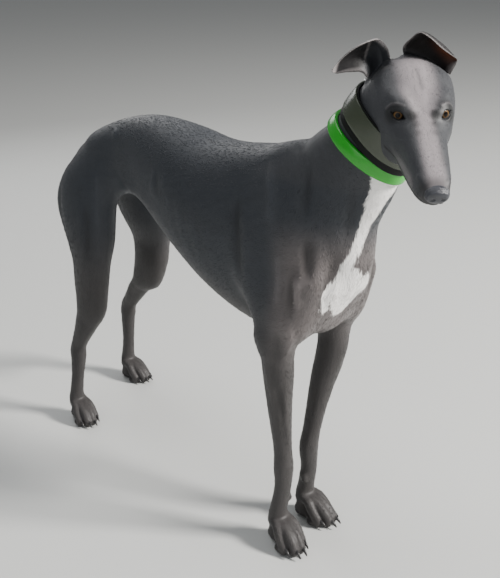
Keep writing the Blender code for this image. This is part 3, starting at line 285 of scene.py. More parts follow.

# Coat: how many tufts, in how many pieces, and the least size of a tuft and what chance adds to it.
TUFTS = 64000
PIECES = 5
SEED = 11
TUFT_LONG = (0.0062, 0.0022)
TUFT_WIDE = (0.00070, 0.00045)
TUFT_LIFT = (0.035, 0.030)  # how steeply it stands off the skin
BARE = dict(eye=0.0165, nose=0.0190, lips=0.0022, floor=0.006)  # no root lies nearer than this
# A tuft's corners: three round its base, three round its middle, and its tip.
TUFT_FACES = (
    (0, 2, 1), (0, 3, 5), (0, 5, 2), (2, 5, 4), (2, 4, 1),
    (1, 4, 3), (1, 3, 0), (3, 6, 5), (5, 6, 4), (4, 6, 3),
)
TUFT_FLAT = ((-0.5, -0.5), (0.5, -0.5), (0, -0.4), (-0.5, 0.1), (0.5, 0.1), (0, 0.2), (0, 0.5))
TUFT_FLAT_SIZE = 0.003  # how much of the map one tuft takes up

SLATE = (0.030, 0.034, 0.041)
HEAD_GREY = (0.040, 0.042, 0.047)
LEG_GREY = (0.043, 0.039, 0.038)
# painted sunlight on the front of the shoulders
SHOULDER_PAINTED_LIGHT = (0.150, 0.130, 0.126)
# painted shade under the belly and between the thighs
BELLY_PAINTED_SHADE = (0.024, 0.0235, 0.024)
# painted light on the top of the head, on the sides of the upper lip and along the creases over the eyes
FACE_PAINTED_LIGHT = (0.290, 0.260, 0.270)
# the dark skin of the lids, also used for painted shadow round the eyes
RIM_AND_SHADOW_DARK = (0.006, 0.0065, 0.007)
LIP_DARK = (0.012, 0.012, 0.013)
EAR_BACK = (0.030, 0.032, 0.037)
EAR_IN = (0.010, 0.008, 0.008)
EAR_GLOW = (0.160, 0.045, 0.016)
# painted highlight on the ears' margins
EAR_RIM_HIGHLIGHT = (0.40, 0.37, 0.37)
WHITE = (0.88, 0.86, 0.84)
NOSE_GREY = (0.034, 0.036, 0.045)
HORN_BLACK = (0.018, 0.017, 0.018)
STRAP_OLIVE = (0.040, 0.050, 0.030)
DARK_BAND_BLACK = (0.004, 0.0045, 0.0045)
STRAP_GREEN = (0.012, 0.330, 0.010)
STEEL = (0.60, 0.60, 0.58)

# Noise in the coat: its scale, its detail, and how much longer than wide its streaks are.
HAIRS = (1500.0, 1.0, 9.0)
PATCHES = (130.0, 3.0, 5.0)
FEATHER = (420.0, 2.0, 7.0)
WHITE_FADE = (0.0125, 0.0080)  # from none to all of the white, on its distance with noise added

# The eye from its middle outwards: the angle from the gaze in radians, and the colour there.
EYE_RINGS = (
    (0.0, (0.001, 0.001, 0.001)), (0.245, (0.001, 0.001, 0.001)), (0.280, (0.050, 0.028, 0.011)),
    (0.38, (0.145, 0.080, 0.030)), (0.50, (0.095, 0.052, 0.019)), (0.60, (0.010, 0.007, 0.005)),
    (0.68, (0.012, 0.009, 0.008)), (1.0, (0.02, 0.014, 0.012)),
)
IRIS_STREAKS = 900

# Dark round each eye, partly the dark skin of the lids and partly painted shadow under the brow and down the
# muzzle side from the inner corner: its centre from the eye, forward, aside and up, then how far it is full
# and how far it reaches, and how dark it is.
EYE_RIMS_AND_SHADOWS = [
    ((0.000, 0.000, 0.000), 0.0145, 0.0215, 0.88),
    ((0.010, -0.007, 0.006), 0.0040, 0.0120, 0.75),
    ((0.0175, -0.0125, 0.0120), 0.0030, 0.0115, 0.85),
    ((0.030, -0.015, 0.009), 0.0010, 0.0100, 0.55),
    ((0.044, -0.017, 0.006), 0.0010, 0.0090, 0.35),
]

FLESH = [
    "head", "neck", "torso", "tail", "fore_leg_left", "fore_leg_right", "hind_leg_left",
    "hind_leg_right", "ear_left", "ear_right",
]

# The white of the throat and chest: a chain of round patches, each with its centre and radius.
WHITE_PATCH = [
    (-0.006, -0.174, 0.690, 0.028), (-0.014, -0.164, 0.652, 0.0145), (-0.016, -0.151, 0.622, 0.0115),
    (-0.018, -0.140, 0.590, 0.0085), (-0.026, -0.134, 0.565, 0.0075), (-0.033, -0.126, 0.546, 0.0090),
    (-0.024, -0.122, 0.526, 0.0210), (-0.010, -0.120, 0.500, 0.0270), (-0.014, -0.104, 0.470, 0.0190),
]
WHITE_LOBES = [
    [(-0.036, -0.116, 0.522, 0.010), (-0.050, -0.106, 0.505, 0.009), (-0.050, -0.098, 0.474, 0.006)],
    [(-0.032, -0.118, 0.505, 0.013), (-0.032, -0.106, 0.480, 0.011)],
    [(0.004, -0.126, 0.516, 0.014), (0.024, -0.120, 0.500, 0.012)],
]
COLLAR_CLEAR = 0.004  # no white lies above this far below the middle of the slim collar

STREAKS = ("neckward", "down", "faceward")  # marks for where the neck's, legs' and face's streaks run
LIE = ((0.0, 1.0, -0.32), (-0.05, 0.55, -0.80), (0.0, 0.12, -1.0))  # of the trunk, the neck, the legs

# The camera before the dog is moved: its place, its way and what is up in its picture.
CAMERA = dict(
    at=(-0.9583, -0.9031, 1.0151), ahead=(0.6308, 0.6734, -0.3856), up=(0.2729, 0.2727, 0.9226)
)
FOCAL_PIXELS = 863.53
FRAME_HEIGHT = 578
SENSOR = 36.0
FLOOR_HALF = 60
FLOOR_GREY = (0.58, 0.59, 0.58)

# Lamps: place, power in watts, size and colour.
LAMPS = dict(
    Key=((2.4, -4.2, 3.5), 760, 1.2, (1.0, 0.97, 0.93)),
    Top=((-0.2, 0.5, 3.0), 26, 1.5, (1, 1, 1)),
    Fill=((-2.4, -0.9, 1.3), 14, 2.0, (0.94, 0.97, 1.0)),
    Back=((0.9, 2.6, 1.8), 20, 1.3, (1, 1, 1)),
)
LIT_MIDDLE = (0, -0.05, 0.42)  # what the lamps point at
SKY_LOW = (0.78, 0.80, 0.81)
SKY_HIGH = (0.86, 0.88, 0.90)
SKY_RISE = 0.35  # where the sky reaches its high colour, as the height of a way of length 1
SKY_STRENGTH = 0.27



def unit(v):
    """Each vector at length 1."""
    return v / np.linalg.norm(v, axis=-1, keepdims=True)


def spline(rows, count):
    """Evenly stepped rows of a Catmull-Rom curve through the given rows."""
    rows = np.array(rows, float)
    ends = np.vstack([2 * rows[0] - rows[1], rows, 2 * rows[-1] - rows[-2]])
    steps = np.linspace(0, len(rows) - 1, count)
    i = np.minimum(steps.astype(int), len(rows) - 2)
    t = (steps - i)[:, None]
    a, b, c, d = ends[i], ends[i + 1], ends[i + 2], ends[i + 3]
    bend = (c - a) * t + (2 * a - 5 * b + 4 * c - d) * t**2 + (3 * b - a - 3 * c + d) * t**3
    return b + 0.5 * bend


def between(values, t):
    """The values of a sampled curve at the fractional samples t."""
    i = np.minimum(t.astype(int), len(values) - 2)
    f = t - i
    if values.ndim > 1:
        f = f[:, None]
    return values[i] * (1 - f) + values[i + 1] * f


def ring_faces(rings, sides, closed=False):
    """Faces between rings of corners, and back to the first ring where the row of rings is closed."""
    faces = []
    for r in range(rings if closed else rings - 1):
        step = ((r + 1) % rings - r) * sides
        for k in range(sides):
            a, b = r * sides + k, r * sides + (k + 1) % sides
            faces.append((a, b, b + step, a + step))
    return faces


class Mass:
    """A rounded body swept along a curve, from rows of x, y, z, half width, reach ahead, reach behind.

    A seventh number in a row is the power of its section: 2 is an ellipse, more is squarer. With an axis
    given, all sections are square to it, and otherwise to the curve.
    """

    def __init__(
        self, rows, side=(1, 0, 0), blend=0.02, samples=0, power=2.0, keel=0.0, cap=None, axis=None
    ):
        rows = [tuple(row) if len(row) > 6 else tuple(row) + (power,) for row in rows]
        table = spline(rows, samples or 6 * (len(rows) - 1) + 1)
        self.centre = table[:, :3]
        self.size = np.maximum(table[:, 3:6], 0.0008)
        self.power = np.maximum(table[:, 6], 1.2)
        self.keel = keel
        self.axis = axis
        self.along = unit(np.gradient(self.centre, axis=0))
        if axis is not None:
            self.axis = unit(np.array(axis, float))
            self.along = np.tile(self.axis, (len(table), 1))
        side = np.array(side, float)
        self.across = unit(side - (self.along @ side)[:, None] * self.along)
        self.ahead = np.cross(self.along, self.across)
        self.step = np.linalg.norm(np.gradient(self.centre, axis=0), axis=1)
        self.blend = blend
        self.cap = cap
        reach = self.size.max(1)[:, None]
        margin = 0.012 + 1.1 * blend  # beyond it the mass no longer counts
        self.low = (self.centre - reach).min(0) - margin
        self.high = (self.centre + reach).max(0) + margin

    def distance(self, points):
        """Signed distance from the points to the surface, near enough for blending."""
        last = len(self.centre) - 1
        if self.axis is not None:
            t = np.interp(points @ self.axis, self.centre @ self.axis, np.arange(last + 1.0))
        else:
            t = ((points[:, None, :] - self.centre[None]) ** 2).sum(2).argmin(1).astype(float)
            for _ in range(2):
                off = points - between(self.centre, t)
                slide = (off * between(self.along, t)).sum(1) / between(self.step, t)
                t = np.clip(t + slide, 0, last)
        off = points - between(self.centre, t)
        u = (off * between(self.across, t)).sum(1)
        v = (off * between(self.ahead, t)).sum(1)
        w = (off * between(self.along, t)).sum(1)
        size = between(self.size, t)
        power = between(self.power, t) - self.keel * (v > 0)
        reach = np.where(v > 0, size[:, 1], size[:, 2])
        cap = self.cap or size.min(1)
        scaled = [(np.abs(x) / s + 1e-9, s) for x, s in ((u, size[:, 0]), (v, reach), (w, cap))]
        r = sum(x**power for x, s in scaled) ** (1 / power)
        slope = np.sqrt(sum((x ** (power - 1) / s) ** 2 for x, s in scaled)) * r ** (1 - power)
        return (r - 1) / slope

    def tube(self, sides=20):
        """Corners and faces of a rough closed tube of about the same form."""
        last = len(self.centre) - 1
        rings = [(0, -0.95, 0.3), (0, -0.7, 0.7)]
        rings += [(i, 0.0, 1.0) for i in range(last + 1)]
        rings += [(last, 0.7, 0.7), (last, 0.95, 0.3)]
        corners = []
        for i, push, grow in rings:
            cap = self.cap or self.size[i].min()
            for k in range(sides):
                angle = 2 * math.pi * k / sides
                c, s = math.cos(angle), math.sin(angle)
                bend = 2 / self.power[i]
                u = math.copysign(abs(c) ** bend, c) * self.size[i, 0] * grow
                v = math.copysign(abs(s) ** bend, s) * self.size[i, 1 if s > 0 else 2] * grow
                flat = self.centre[i] + u * self.across[i] + v * self.ahead[i]
                corners.append(flat + push * cap * self.along[i])
        faces = ring_faces(len(rings), sides)
        faces.append(tuple(reversed(range(sides))))
        faces.append(tuple(range(len(corners) - sides, len(corners))))
        return corners, faces


def placed(rows, frame, side=(1, 0, 0), scale=1.0, axis=None, **more):
    """A mass whose rows are given in another frame, a 4 x 4 matrix."""
    if axis is not None:
        axis = frame[:3, :3] @ np.array(axis, float)
    turned = []
    for row in rows:
        here = frame[:3, :3] @ np.array(row[:3]) + frame[:3, 3]
        turned.append(tuple(here) + tuple(v * scale for v in row[3:6]) + tuple(row[6:]))
    across = unit(frame[:3, :3] @ np.array(side, float))
    return Mass(turned, side=across, axis=axis, **more)


def spindle(start, end, wide, ahead, behind, blend=0.02, full=0.55, side=(1, 0, 0)):
    """A muscle belly: a mass that swells between its two ends."""
    start, end = np.array(start, float), np.array(end, float)
    rows = []
    for t in (0.0, 0.25, 0.5, 0.75, 1.0):
        swell = full + (1 - full) * math.sin(math.pi * t)
        rows.append((*(start + (end - start) * t), wide * swell, ahead * swell, behind * swell))
    return Mass(rows, side, blend)


class Fold:
    """A shallow groove along a line on the surface, or a ridge where its depth is less than 0."""

    def __init__(self, points, width, depth):
        self.points = np.array(points, float)
        self.width = width
        self.depth = depth
        self.low = self.points.min(0) - 2.4 * width
        self.high = self.points.max(0) + 2.4 * width

    def offset(self, points):
        least = np.full(len(points), 1.0)
        for a, b in zip(self.points[:-1], self.points[1:]):
            t = np.clip((points - a) @ (b - a) / ((b - a) @ (b - a)), 0, 1)
            gap = np.linalg.norm(points - a - t[:, None] * (b - a), axis=1)
            least = np.minimum(least, gap)
        return self.depth * np.exp(-((least / self.width) ** 2))


def field(points, masses, carves=(), folds=()):
    """The smooth union of the masses less the carves, as a signed distance that is negative inside."""
    total = np.full(len(points), 1.0)
    for mass in masses:
        near = ((points > mass.low) & (points < mass.high)).all(1)
        if near.any():
            d, a = mass.distance(points[near]), total[near]
            h = np.clip(0.5 + 0.5 * (a - d) / mass.blend, 0, 1)
            total[near] = a + (d - a) * h - mass.blend * h * (1 - h)
    for mass in carves:
        near = ((points > mass.low) & (points < mass.high)).all(1)
        if near.any():
            d, a = -mass.distance(points[near]), total[near]
            h = np.clip(0.5 + 0.5 * (d - a) / mass.blend, 0, 1)
            total[near] = a + (d - a) * h + mass.blend * h * (1 - h)
    for fold in folds:
        near = ((points > fold.low) & (points < fold.high)).all(1)
        if near.any():
            total[near] += fold.offset(points[near])
    return total


def head_frame():
    """The head's own frame as a 4 x 4 matrix."""
    turn = Matrix.Rotation(math.radians(-90 - HEAD_TURN), 4, "Z")
    drop = Matrix.Rotation(math.radians(HEAD_DROP), 4, "Y")
    return np.array(Matrix.Translation(HEAD_AT) @ turn @ drop)


def trunk():
    """Chest, loin and rump as one mass, narrower toward its underside."""
    rows = []
    for y, top, middle, bottom, half, power in TRUNK:
        rows.append((0, y, middle, half, middle - bottom, top - middle, power))
    return Mass(rows, blend=0.03, cap=0.03, keel=KEEL, axis=(0, 1, 0))


def neck(head):
    """The neck from the back of the skull down into the chest."""
    poll = turned(head, (-0.080, 0, -0.018))
    rows = [
        (*poll, 0.041, 0.044, 0.036),
        (0.009, -0.152, 0.785, 0.048, 0.060, 0.042),
        (0.006, -0.128, 0.735, 0.051, 0.071, 0.057),
        (0.003, -0.098, 0.680, 0.053, 0.078, 0.084),
        (0.000, -0.062, 0.622, 0.056, 0.078, 0.102),
        (0.000, -0.024, 0.560, 0.050, 0.055, 0.090),
    ]
    return Mass(rows, blend=0.045, axis=(-0.11, 0.52, -0.85))


def mix(a, b, t):
    """The value at the share t of the way from a to b."""
    return a + (b - a) * t


def foreleg(s):
    """Shoulder, arm, forearm, dew claw and paw of one side, hung on the leg's joints."""
    leg = LEGS[s]
    sx, sy, sz = leg["shoulder"]
    ex, ey, ez = leg["elbow"]
    cx, cy, cz = leg["carpus"]
    px, py = leg["fore_paw"]
    blade = Mass([
        (s * 0.026, 0.022, 0.678, 0.012, 0.030, 0.034),
        (s * 0.050, -0.012, 0.612, 0.022, 0.040, 0.048),
        (0.92 * sx, sy + 0.004, sz, 0.024, 0.028, 0.036),
    ], blend=0.04)
    upper = Mass([
        (0.90 * sx, sy + 0.004, sz - 0.002, 0.026, 0.026, 0.032),
        (mix(sx, ex, 0.4), mix(sy, ey, 0.45), mix(sz, ez, 0.5), 0.030, 0.034, 0.040),
        (ex, ey, ez, 0.026, 0.031, 0.028),
    ], blend=0.03)
    top = (s * 0.062, 0.042, 0.580)
    triceps = spindle(top, (ex, ey + 0.016, ez + 0.018), 0.024, 0.040, 0.040, 0.035)
    top = (s * 0.020, -0.074, 0.505)
    breast = spindle(top, (0.85 * ex, ey - 0.030, ez + 0.055), 0.026, 0.026, 0.030, 0.04, 0.8)
    shaft = Mass([
        (ex, ey, ez + 0.010, 0.0255, 0.031, 0.030),
        (mix(ex, cx, 0.12), ey - 0.003, ez - 0.045, 0.0260, 0.030, 0.027),
        (mix(ex, cx, 0.45), mix(ey, cy, 0.45), ez - 0.115, 0.0210, 0.0240, 0.0225),
        (mix(cx, ex, 0.15), mix(cy, ey, 0.15), cz + 0.042, 0.0165, 0.0180, 0.0170),
        (cx, cy, cz, 0.0190, 0.0178, 0.0175),
        (mix(cx, px, 0.4), mix(cy, py, 0.3), cz - 0.042, 0.0165, 0.0145, 0.0160),
        (px, py + 0.010, 0.060, 0.0180, 0.0145, 0.0160),
    ], blend=0.015)
    top = (ex, ey + 0.024, ez + 0.022)
    point = spindle(top, (ex, ey + 0.024, ez - 0.010), 0.012, 0.012, 0.012, 0.018, 0.8)
    dew = Mass([
        (px - s * 0.016, py + 0.004, 0.098, 0.0045, 0.006, 0.006),
        (px - s * 0.018, py - 0.003, 0.086, 0.0042, 0.005, 0.005),
    ], blend=0.008)
    toes = paw(px, py, leg["fore_out"], PAW_SCALE["fore"])
    return [blade, upper, triceps, breast, shaft, point, dew] + toes


def hind_leg(s):
    """Thigh, shank and paw of one side, hung on the leg's joints."""
    leg = LEGS[s]
    hx, hy, _ = leg["hip"]
    kx, ky, _ = leg["stifle"]
    tx, ty, tz = leg["hock"]
    px, py = leg["hind_paw"]
    thigh = Mass([
        (s * 0.028, hy - 0.024, 0.622, 0.022, 0.046, 0.032),
        (0.94 * hx, hy - 0.005, 0.572, 0.040, 0.078, 0.078),
        (mix(hx, kx, 0.4), hy + 0.002, 0.515, 0.041, 0.084, 0.092),
        (mix(hx, kx, 0.75), mix(hy, ky, 0.5) + 0.008, 0.450, 0.036, 0.070, 0.080),
        (kx, ky + 0.020, 0.400, 0.029, 0.052, 0.060),
        (mix(kx, tx, 0.08), ky + 0.027, 0.350, 0.0270, 0.047, 0.053),
        (mix(kx, tx, 0.32), mix(ky, ty, 0.38), 0.290, 0.0235, 0.045, 0.042),
        (mix(kx, tx, 0.60), mix(ky, ty, 0.62), tz + 0.078, 0.0180, 0.0345, 0.0285),
        (mix(kx, tx, 0.80), mix(ky, ty, 0.81), tz + 0.045, 0.0130, 0.0230, 0.0195),
        (mix(kx, tx, 0.92), mix(ky, ty, 0.93), tz + 0.020, 0.0070, 0.0090, 0.0090),
    ], blend=0.04, cap=0.020, axis=(0, 0, -1))
    shank = Mass([
        (mix(kx, tx, 0.56), mix(ky, ty, 0.58), tz + 0.086, 0.0140, 0.0190, 0.0190),
        (mix(kx, tx, 0.80), mix(ky, ty, 0.81), tz + 0.045, 0.0128, 0.0185, 0.0190),
        (mix(tx, kx, 0.06), mix(ty, ky, 0.04), tz + 0.018, 0.0134, 0.0205, 0.0215),
        (tx, ty, tz, 0.0160, 0.0215, 0.0225),
        (tx, ty + 0.003, tz - 0.022, 0.0152, 0.0190, 0.0195),
        (mix(tx, px, 0.5), mix(ty, py + 0.012, 0.5), 0.105, 0.0138, 0.0150, 0.0165),
        (px, py + 0.012, 0.055, 0.0165, 0.0145, 0.0160),
    ], blend=0.014)
    return [thigh, shank] + paw(px, py, leg["hind_out"], PAW_SCALE["hind"])


def paw_frame(x, y, out, scale):
    """The frame of a paw at x, y on the floor, turned by out degrees."""
    turn = Matrix.Translation((x, y, 0)) @ Matrix.Rotation(math.radians(out), 4, "Z")
    return np.array(turn @ Matrix.Scale(scale, 4))


def paw(x, y, out, scale):
    """A hare foot: four arched toes on their pads, and the heel pad, turned out by a few degrees."""
    turn = paw_frame(x, y, out, scale)
    masses = []
    for side, back, thick in TOES:
        x = side * TOE_STEP
        toe = [
            (x * 0.55, 0.012, 0.046, thick * 0.95, thick, thick),
            (x * 0.85, -0.012 + back * 0.3, 0.041, thick, thick, thick),
            (x * 1.02, -0.034 + back, 0.028, thick, thick, thick * 1.1),
            (x * 1.05, -0.046 + back, 0.013, thick * 0.92, thick, thick),
        ]
        pad = [
            (x * 1.05, -0.030 + back, 0.006, thick * 0.85, 0.0075, 0.0075),
            (x * 1.05, -0.046 + back, 0.006, thick * 0.80, 0.0075, 0.0075),
        ]
        masses.append(placed(toe, turn, scale=scale, blend=0.004))
        masses.append(placed(pad, turn, scale=scale, blend=0.003))
    heel = [(0, 0.016, 0.010, 0.0165, 0.013, 0.012), (0, -0.010, 0.009, 0.0185, 0.011, 0.012)]
    knuckle = [(0, 0.013, 0.050, 0.0165, 0.014, 0.0120), (0, 0.013, 0.020, 0.018, 0.018, 0.0140)]
    masses.append(placed(heel, turn, scale=scale, blend=0.008))
    masses.append(placed(knuckle, turn, scale=scale, blend=0.012))
    return masses


def claws(x, y, out, scale):
    """The claws of a paw, each a short bent cone that starts inside its toe."""
    turn = paw_frame(x, y, out, scale)
    masses = []
    for side, back, _ in TOES:
        x = side * TOE_STEP
        rows = [
            (x * 1.06, -0.048 + back, 0.017, 0.0034, 0.0036, 0.0036),
            (x * 1.07, -0.058 + back, 0.0130, 0.0026, 0.0028, 0.0028),
            (x * 1.08, -0.064 + back, 0.0075, 0.0013, 0.0015, 0.0015),
        ]
        masses.append(placed(rows, turn, scale=scale, blend=0.002, samples=3))
    return masses


def head_masses(head):
    """Skull and muzzle, cheeks, brows, jaw and the swellings of the eyes."""
    across = (0, 1, 0)
    rows = []
    for x, top, bottom, half, power in SKULL:
        middle = mix(bottom, top, 0.62)
        rows.append((x, 0, middle, half, middle - bottom, top - middle, power))
    masses = [placed(rows, head, across, axis=(-1, 0, 0), blend=0.03, cap=0.007)]
    for s in (RIGHT, LEFT):
        cheek = [
            (0.006, s * 0.0310, -0.025, 0.006, 0.010, 0.010),
            (-0.030, s * 0.0385, -0.014, 0.010, 0.017, 0.015),
            (-0.065, s * 0.0400, -0.010, 0.010, 0.017, 0.015),
        ]
        brow = [
            (0.003, s * 0.0200, 0.006, 0.006, 0.005, 0.005),
            (-0.012, s * 0.0255, 0.010, 0.007, 0.006, 0.005),
            (-0.028, s * 0.0310, 0.008, 0.007, 0.006, 0.005),
        ]
        jaw = [
            (-0.004, s * 0.030, -0.056, 0.010, 0.014, 0.012),
            (-0.032, s * 0.035, -0.056, 0.014, 0.018, 0.016),
            (-0.060, s * 0.038, -0.045, 0.013, 0.018, 0.016),
        ]
        x, y, z = EYE
        r = EYE_RADIUS + LID
        lid = [(x, s * y, z, r, r, r), (x - 0.002, s * y, z, r, r, r)]
        masses.append(placed(cheek, head, across, blend=0.030))
        masses.append(placed(brow, head, across, blend=0.016))
        masses.append(placed(jaw, head, across, blend=0.025))
        masses.append(placed(lid, head, across, blend=0.010, samples=3))
    return masses


def body_masses(head):
    """All masses of the dog but its ears and nose leather."""
    breast = [
        (0.0, -0.085, 0.640, 0.045, 0.034, 0.050),
        (0.0, -0.080, 0.570, 0.058, 0.044, 0.050),
        (0.0, -0.074, 0.510, 0.060, 0.044, 0.050),
        (0.0, -0.050, 0.445, 0.050, 0.036, 0.050),
    ]
    sheath = [
        (0.0, 0.410, 0.540, 0.0100, 0.011, 0.011),
        (0.0, 0.372, 0.524, 0.0110, 0.012, 0.012),
        (0.0, 0.342, 0.505, 0.0080, 0.008, 0.008),
    ]
    masses = [trunk(), neck(head)]
    masses += [Mass(breast, blend=0.04, axis=(0, 0.2, -1)), Mass(sheath, blend=0.022)]
    for s in (RIGHT, LEFT):
        masses += foreleg(s) + hind_leg(s)
    return masses + head_masses(head) + [Mass(TAIL, blend=0.03)]


def linked(name, data):
    """A new object in the scene for a mesh, curve, lamp or camera."""
    obj = bpy.data.objects.new(name, data)
    bpy.context.scene.collection.objects.link(obj)
    return obj


def new_object(name, corners, faces):
    mesh = bpy.data.meshes.new(name)
    mesh.from_pydata([tuple(p) for p in corners], [], faces)
    return linked(name, mesh)


def applied(obj):
    """The object with its modifiers turned into plain mesh."""
    graph = bpy.context.evaluated_depsgraph_get()
    made = bpy.data.meshes.new_from_object(obj.evaluated_get(graph))
    obj.modifiers.clear()
    obj.data = made
    return obj


def rough(name, masses, voxel):
    """The masses' tubes as one even mesh."""
    corners, faces = [], []
    for mass in masses:
        points, ring = mass.tube()
        faces += [tuple(i + len(corners) for i in face) for face in ring]
        corners += list(points)
    obj = new_object(name, corners, faces)
    remesh = obj.modifiers.new("Join", "REMESH")
    remesh.mode = "VOXEL"
    remesh.voxel_size = voxel
    even = obj.modifiers.new("Even", "SMOOTH")
    even.factor = 0.5
    even.iterations = 4
    return applied(obj)


def points_of(mesh, kind="co"):
    """The mesh's vertices as an array: their places, or their normals."""
    values = np.empty(len(mesh.vertices) * 3)
    mesh.vertices.foreach_get(kind, values)
    return values.reshape(-1, 3)


def slope_of(points, form, step=0.0005):
    """The field at the points and its gradient."""
    here = field(points, *form)
    slope = np.empty_like(points)
    for axis in range(3):
        moved = points.copy()
        moved[:, axis] += step
        slope[:, axis] = (field(moved, *form) - here) / step
    return here, slope


def on_surface(points, form, rounds=6):
    """The points brought down the field's slope to its surface."""
    points = np.array(points, float)
    for _ in range(rounds):
        here, slope = slope_of(points, form)
        points = points - (here / np.maximum((slope**2).sum(1), 0.25))[:, None] * slope
    return points


def neighbours(mesh):
    """The mesh's edges, and how many neighbours each vertex has."""
    edges = np.empty(len(mesh.edges) * 2, np.int64)
    mesh.edges.foreach_get("vertices", edges)
    edges = edges.reshape(-1, 2)
    degree = np.bincount(edges.ravel(), minlength=len(mesh.vertices))
    return edges, np.maximum(degree, 1)[:, None]


def evening(points, edges, degree):
    """Half the way from each point to the middle of its neighbours."""
    mean = np.zeros_like(points)
    for axis in range(3):
        mean[:, axis] = np.bincount(edges[:, 0], points[edges[:, 1], axis], len(points))
        mean[:, axis] += np.bincount(edges[:, 1], points[edges[:, 0], axis], len(points))
    return 0.5 * (mean / degree - points)


def settle(obj, form, rounds=4, most=0.005, inset=0.0):
    """Brings each vertex down the field's slope to its surface, or inset inside it, and evens the mesh."""
    mesh = obj.data
    points = points_of(mesh)
    edges, degree = neighbours(mesh)
    for k in range(rounds):
        if k < rounds - 1:
            points = points + evening(points, edges, degree)
        here, slope = slope_of(points, form)
        steep = np.maximum((slope**2).sum(1), 0.16)
        move = -((here + inset) / steep)[:, None] * slope
        length = np.linalg.norm(move, axis=1, keepdims=True)
        points = points + move * np.minimum(1, most / np.maximum(length, 1e-9))
    mesh.vertices.foreach_set("co", points.ravel())
    mesh.update()
    return obj


def refined(obj, chosen):
    """Halves the mesh where chosen, a test of an array of points, holds for a face's middle."""
    made = bmesh.new()
    made.from_mesh(obj.data)
    centres = np.array([face.calc_center_median() for face in made.faces])
    wanted = chosen(centres)
    edges = {edge for face, yes in zip(made.faces, wanted) if yes for edge in face.edges}
    bmesh.ops.subdivide_edges(made, edges=list(edges), cuts=1, use_grid_fill=True)
    made.to_mesh(obj.data)
    made.free()
    return obj


def skinned(name, form, voxel, inset=0.0):
    """The closed surface of the smooth union: settled once, meshed afresh, and settled again."""
    plain = (form[0], (), ())
    obj = settle(rough(name, form[0], voxel), plain, 5, inset=inset)
    remesh = obj.modifiers.new("Again", "REMESH")
    remesh.mode = "VOXEL"
    remesh.voxel_size = voxel
    return settle(applied(obj), form, 3, inset=inset)


def all_folds(form):
    """The folds of both sides, laid on the surface."""
    folds = []
    for width, depth, points in FOLDS:
        for s in (LEFT, RIGHT):
            line = on_surface([(s * x, y, z) for x, y, z in points], form)
            folds.append(Fold(line, width, depth))
    for width, depth, points in MIDDLE_FOLDS:
        folds.append(Fold(on_surface(points, form), width, depth))
    return folds


def remove(obj):
    bpy.data.objects.remove(obj, do_unlink=True)


def largest(obj):
    """Keeps only the largest closed surface of the object."""
    made = bmesh.new()
    made.from_mesh(obj.data)
    left = set(made.verts)
    groups = []
    while left:
        found = {left.pop()}
        edge = list(found)
        while edge:
            near = {e.other_vert(v) for v in edge for e in v.link_edges} - found
            found |= near
            edge = list(near)
        left -= found
        groups.append(found)
    keep = max(groups, key=len)
    spare = [v for group in groups if group is not keep for v in group]
    bmesh.ops.delete(made, geom=spare, context="VERTS")
    made.to_mesh(obj.data)
    made.free()
    return obj


def united(obj, other):
    """The object joined with the other, which is removed, by a Boolean."""
    boolean = obj.modifiers.new("Join", "BOOLEAN")
    boolean.operation = "UNION"
    boolean.solver = "EXACT"
    boolean.object = other
    bpy.context.view_layer.update()
    applied(obj)
    remove(other)
    return largest(obj)


def ball(name, at, radius, level):
    """An even ball of triangles."""
    made = bmesh.new()
    bmesh.ops.create_icosphere(made, subdivisions=level, radius=radius)
    bmesh.ops.translate(made, verts=made.verts, vec=tuple(at))
    mesh = bpy.data.meshes.new(name)
    made.to_mesh(mesh)
    made.free()
    return linked(name, mesh)


def turned(head, point, s=1):
    """A point of the head's frame in the world, mirrored to the right side where s is -1."""
    x, y, z = point
    return head[:3, :3] @ np.array((x, s * y, z)) + head[:3, 3]


def outward(obj):
    """Turns every face of a closed mesh outwards."""
    made = bmesh.new()
    made.from_mesh(obj.data)
    bmesh.ops.recalc_face_normals(made, faces=made.faces)
    made.to_mesh(obj.data)
    made.free()
    return obj


def rod(name, points, radius, sides):
    """A round bar along the points, with rounded ends, as a closed mesh."""
    rows = [(*p, radius, radius, radius) for p in points]
    side = (0.31, 0.23, 0.92)  # any way that no bar runs along
    mass = Mass(rows, side=side, samples=3 * (len(rows) - 1) + 1)
    corners, faces = mass.tube(sides)
    return outward(new_object(name, corners, faces))


def nose_mass(head):
    """The nose leather as a short mass across the tip of the muzzle."""
    x, z = NOSE
    rows = [
        (x - 0.0045, 0, z + 0.0010, 0.0134, 0.0094, 0.0100),
        (x - 0.001, 0, z + 0.0006, 0.0156, 0.0108, 0.0110),
        (x + 0.004, 0, z, 0.0160, 0.0110, 0.0108),
        (x + 0.007, 0, z - 0.0004, 0.0142, 0.0098, 0.0094),
    ]
    return placed(rows, head, (0, 1, 0), power=2.3, cap=0.0040, axis=(1, 0, 0), samples=5)


def mouth_line(head, form):
    """The line between the lips: round the front of the muzzle and back to below each eye."""
    points = [turned(head, p, -1) for p in reversed(MOUTH)] + [turned(head, p) for p in MOUTH[1:]]
    return on_surface(points, form)


def filled(reach, rounds):
    """A closed band's reach with its dips filled from their neighbours."""
    for _ in range(rounds):
        reach = np.maximum(reach, (np.roll(reach, 1) + np.roll(reach, -1)) / 2)
    return reach


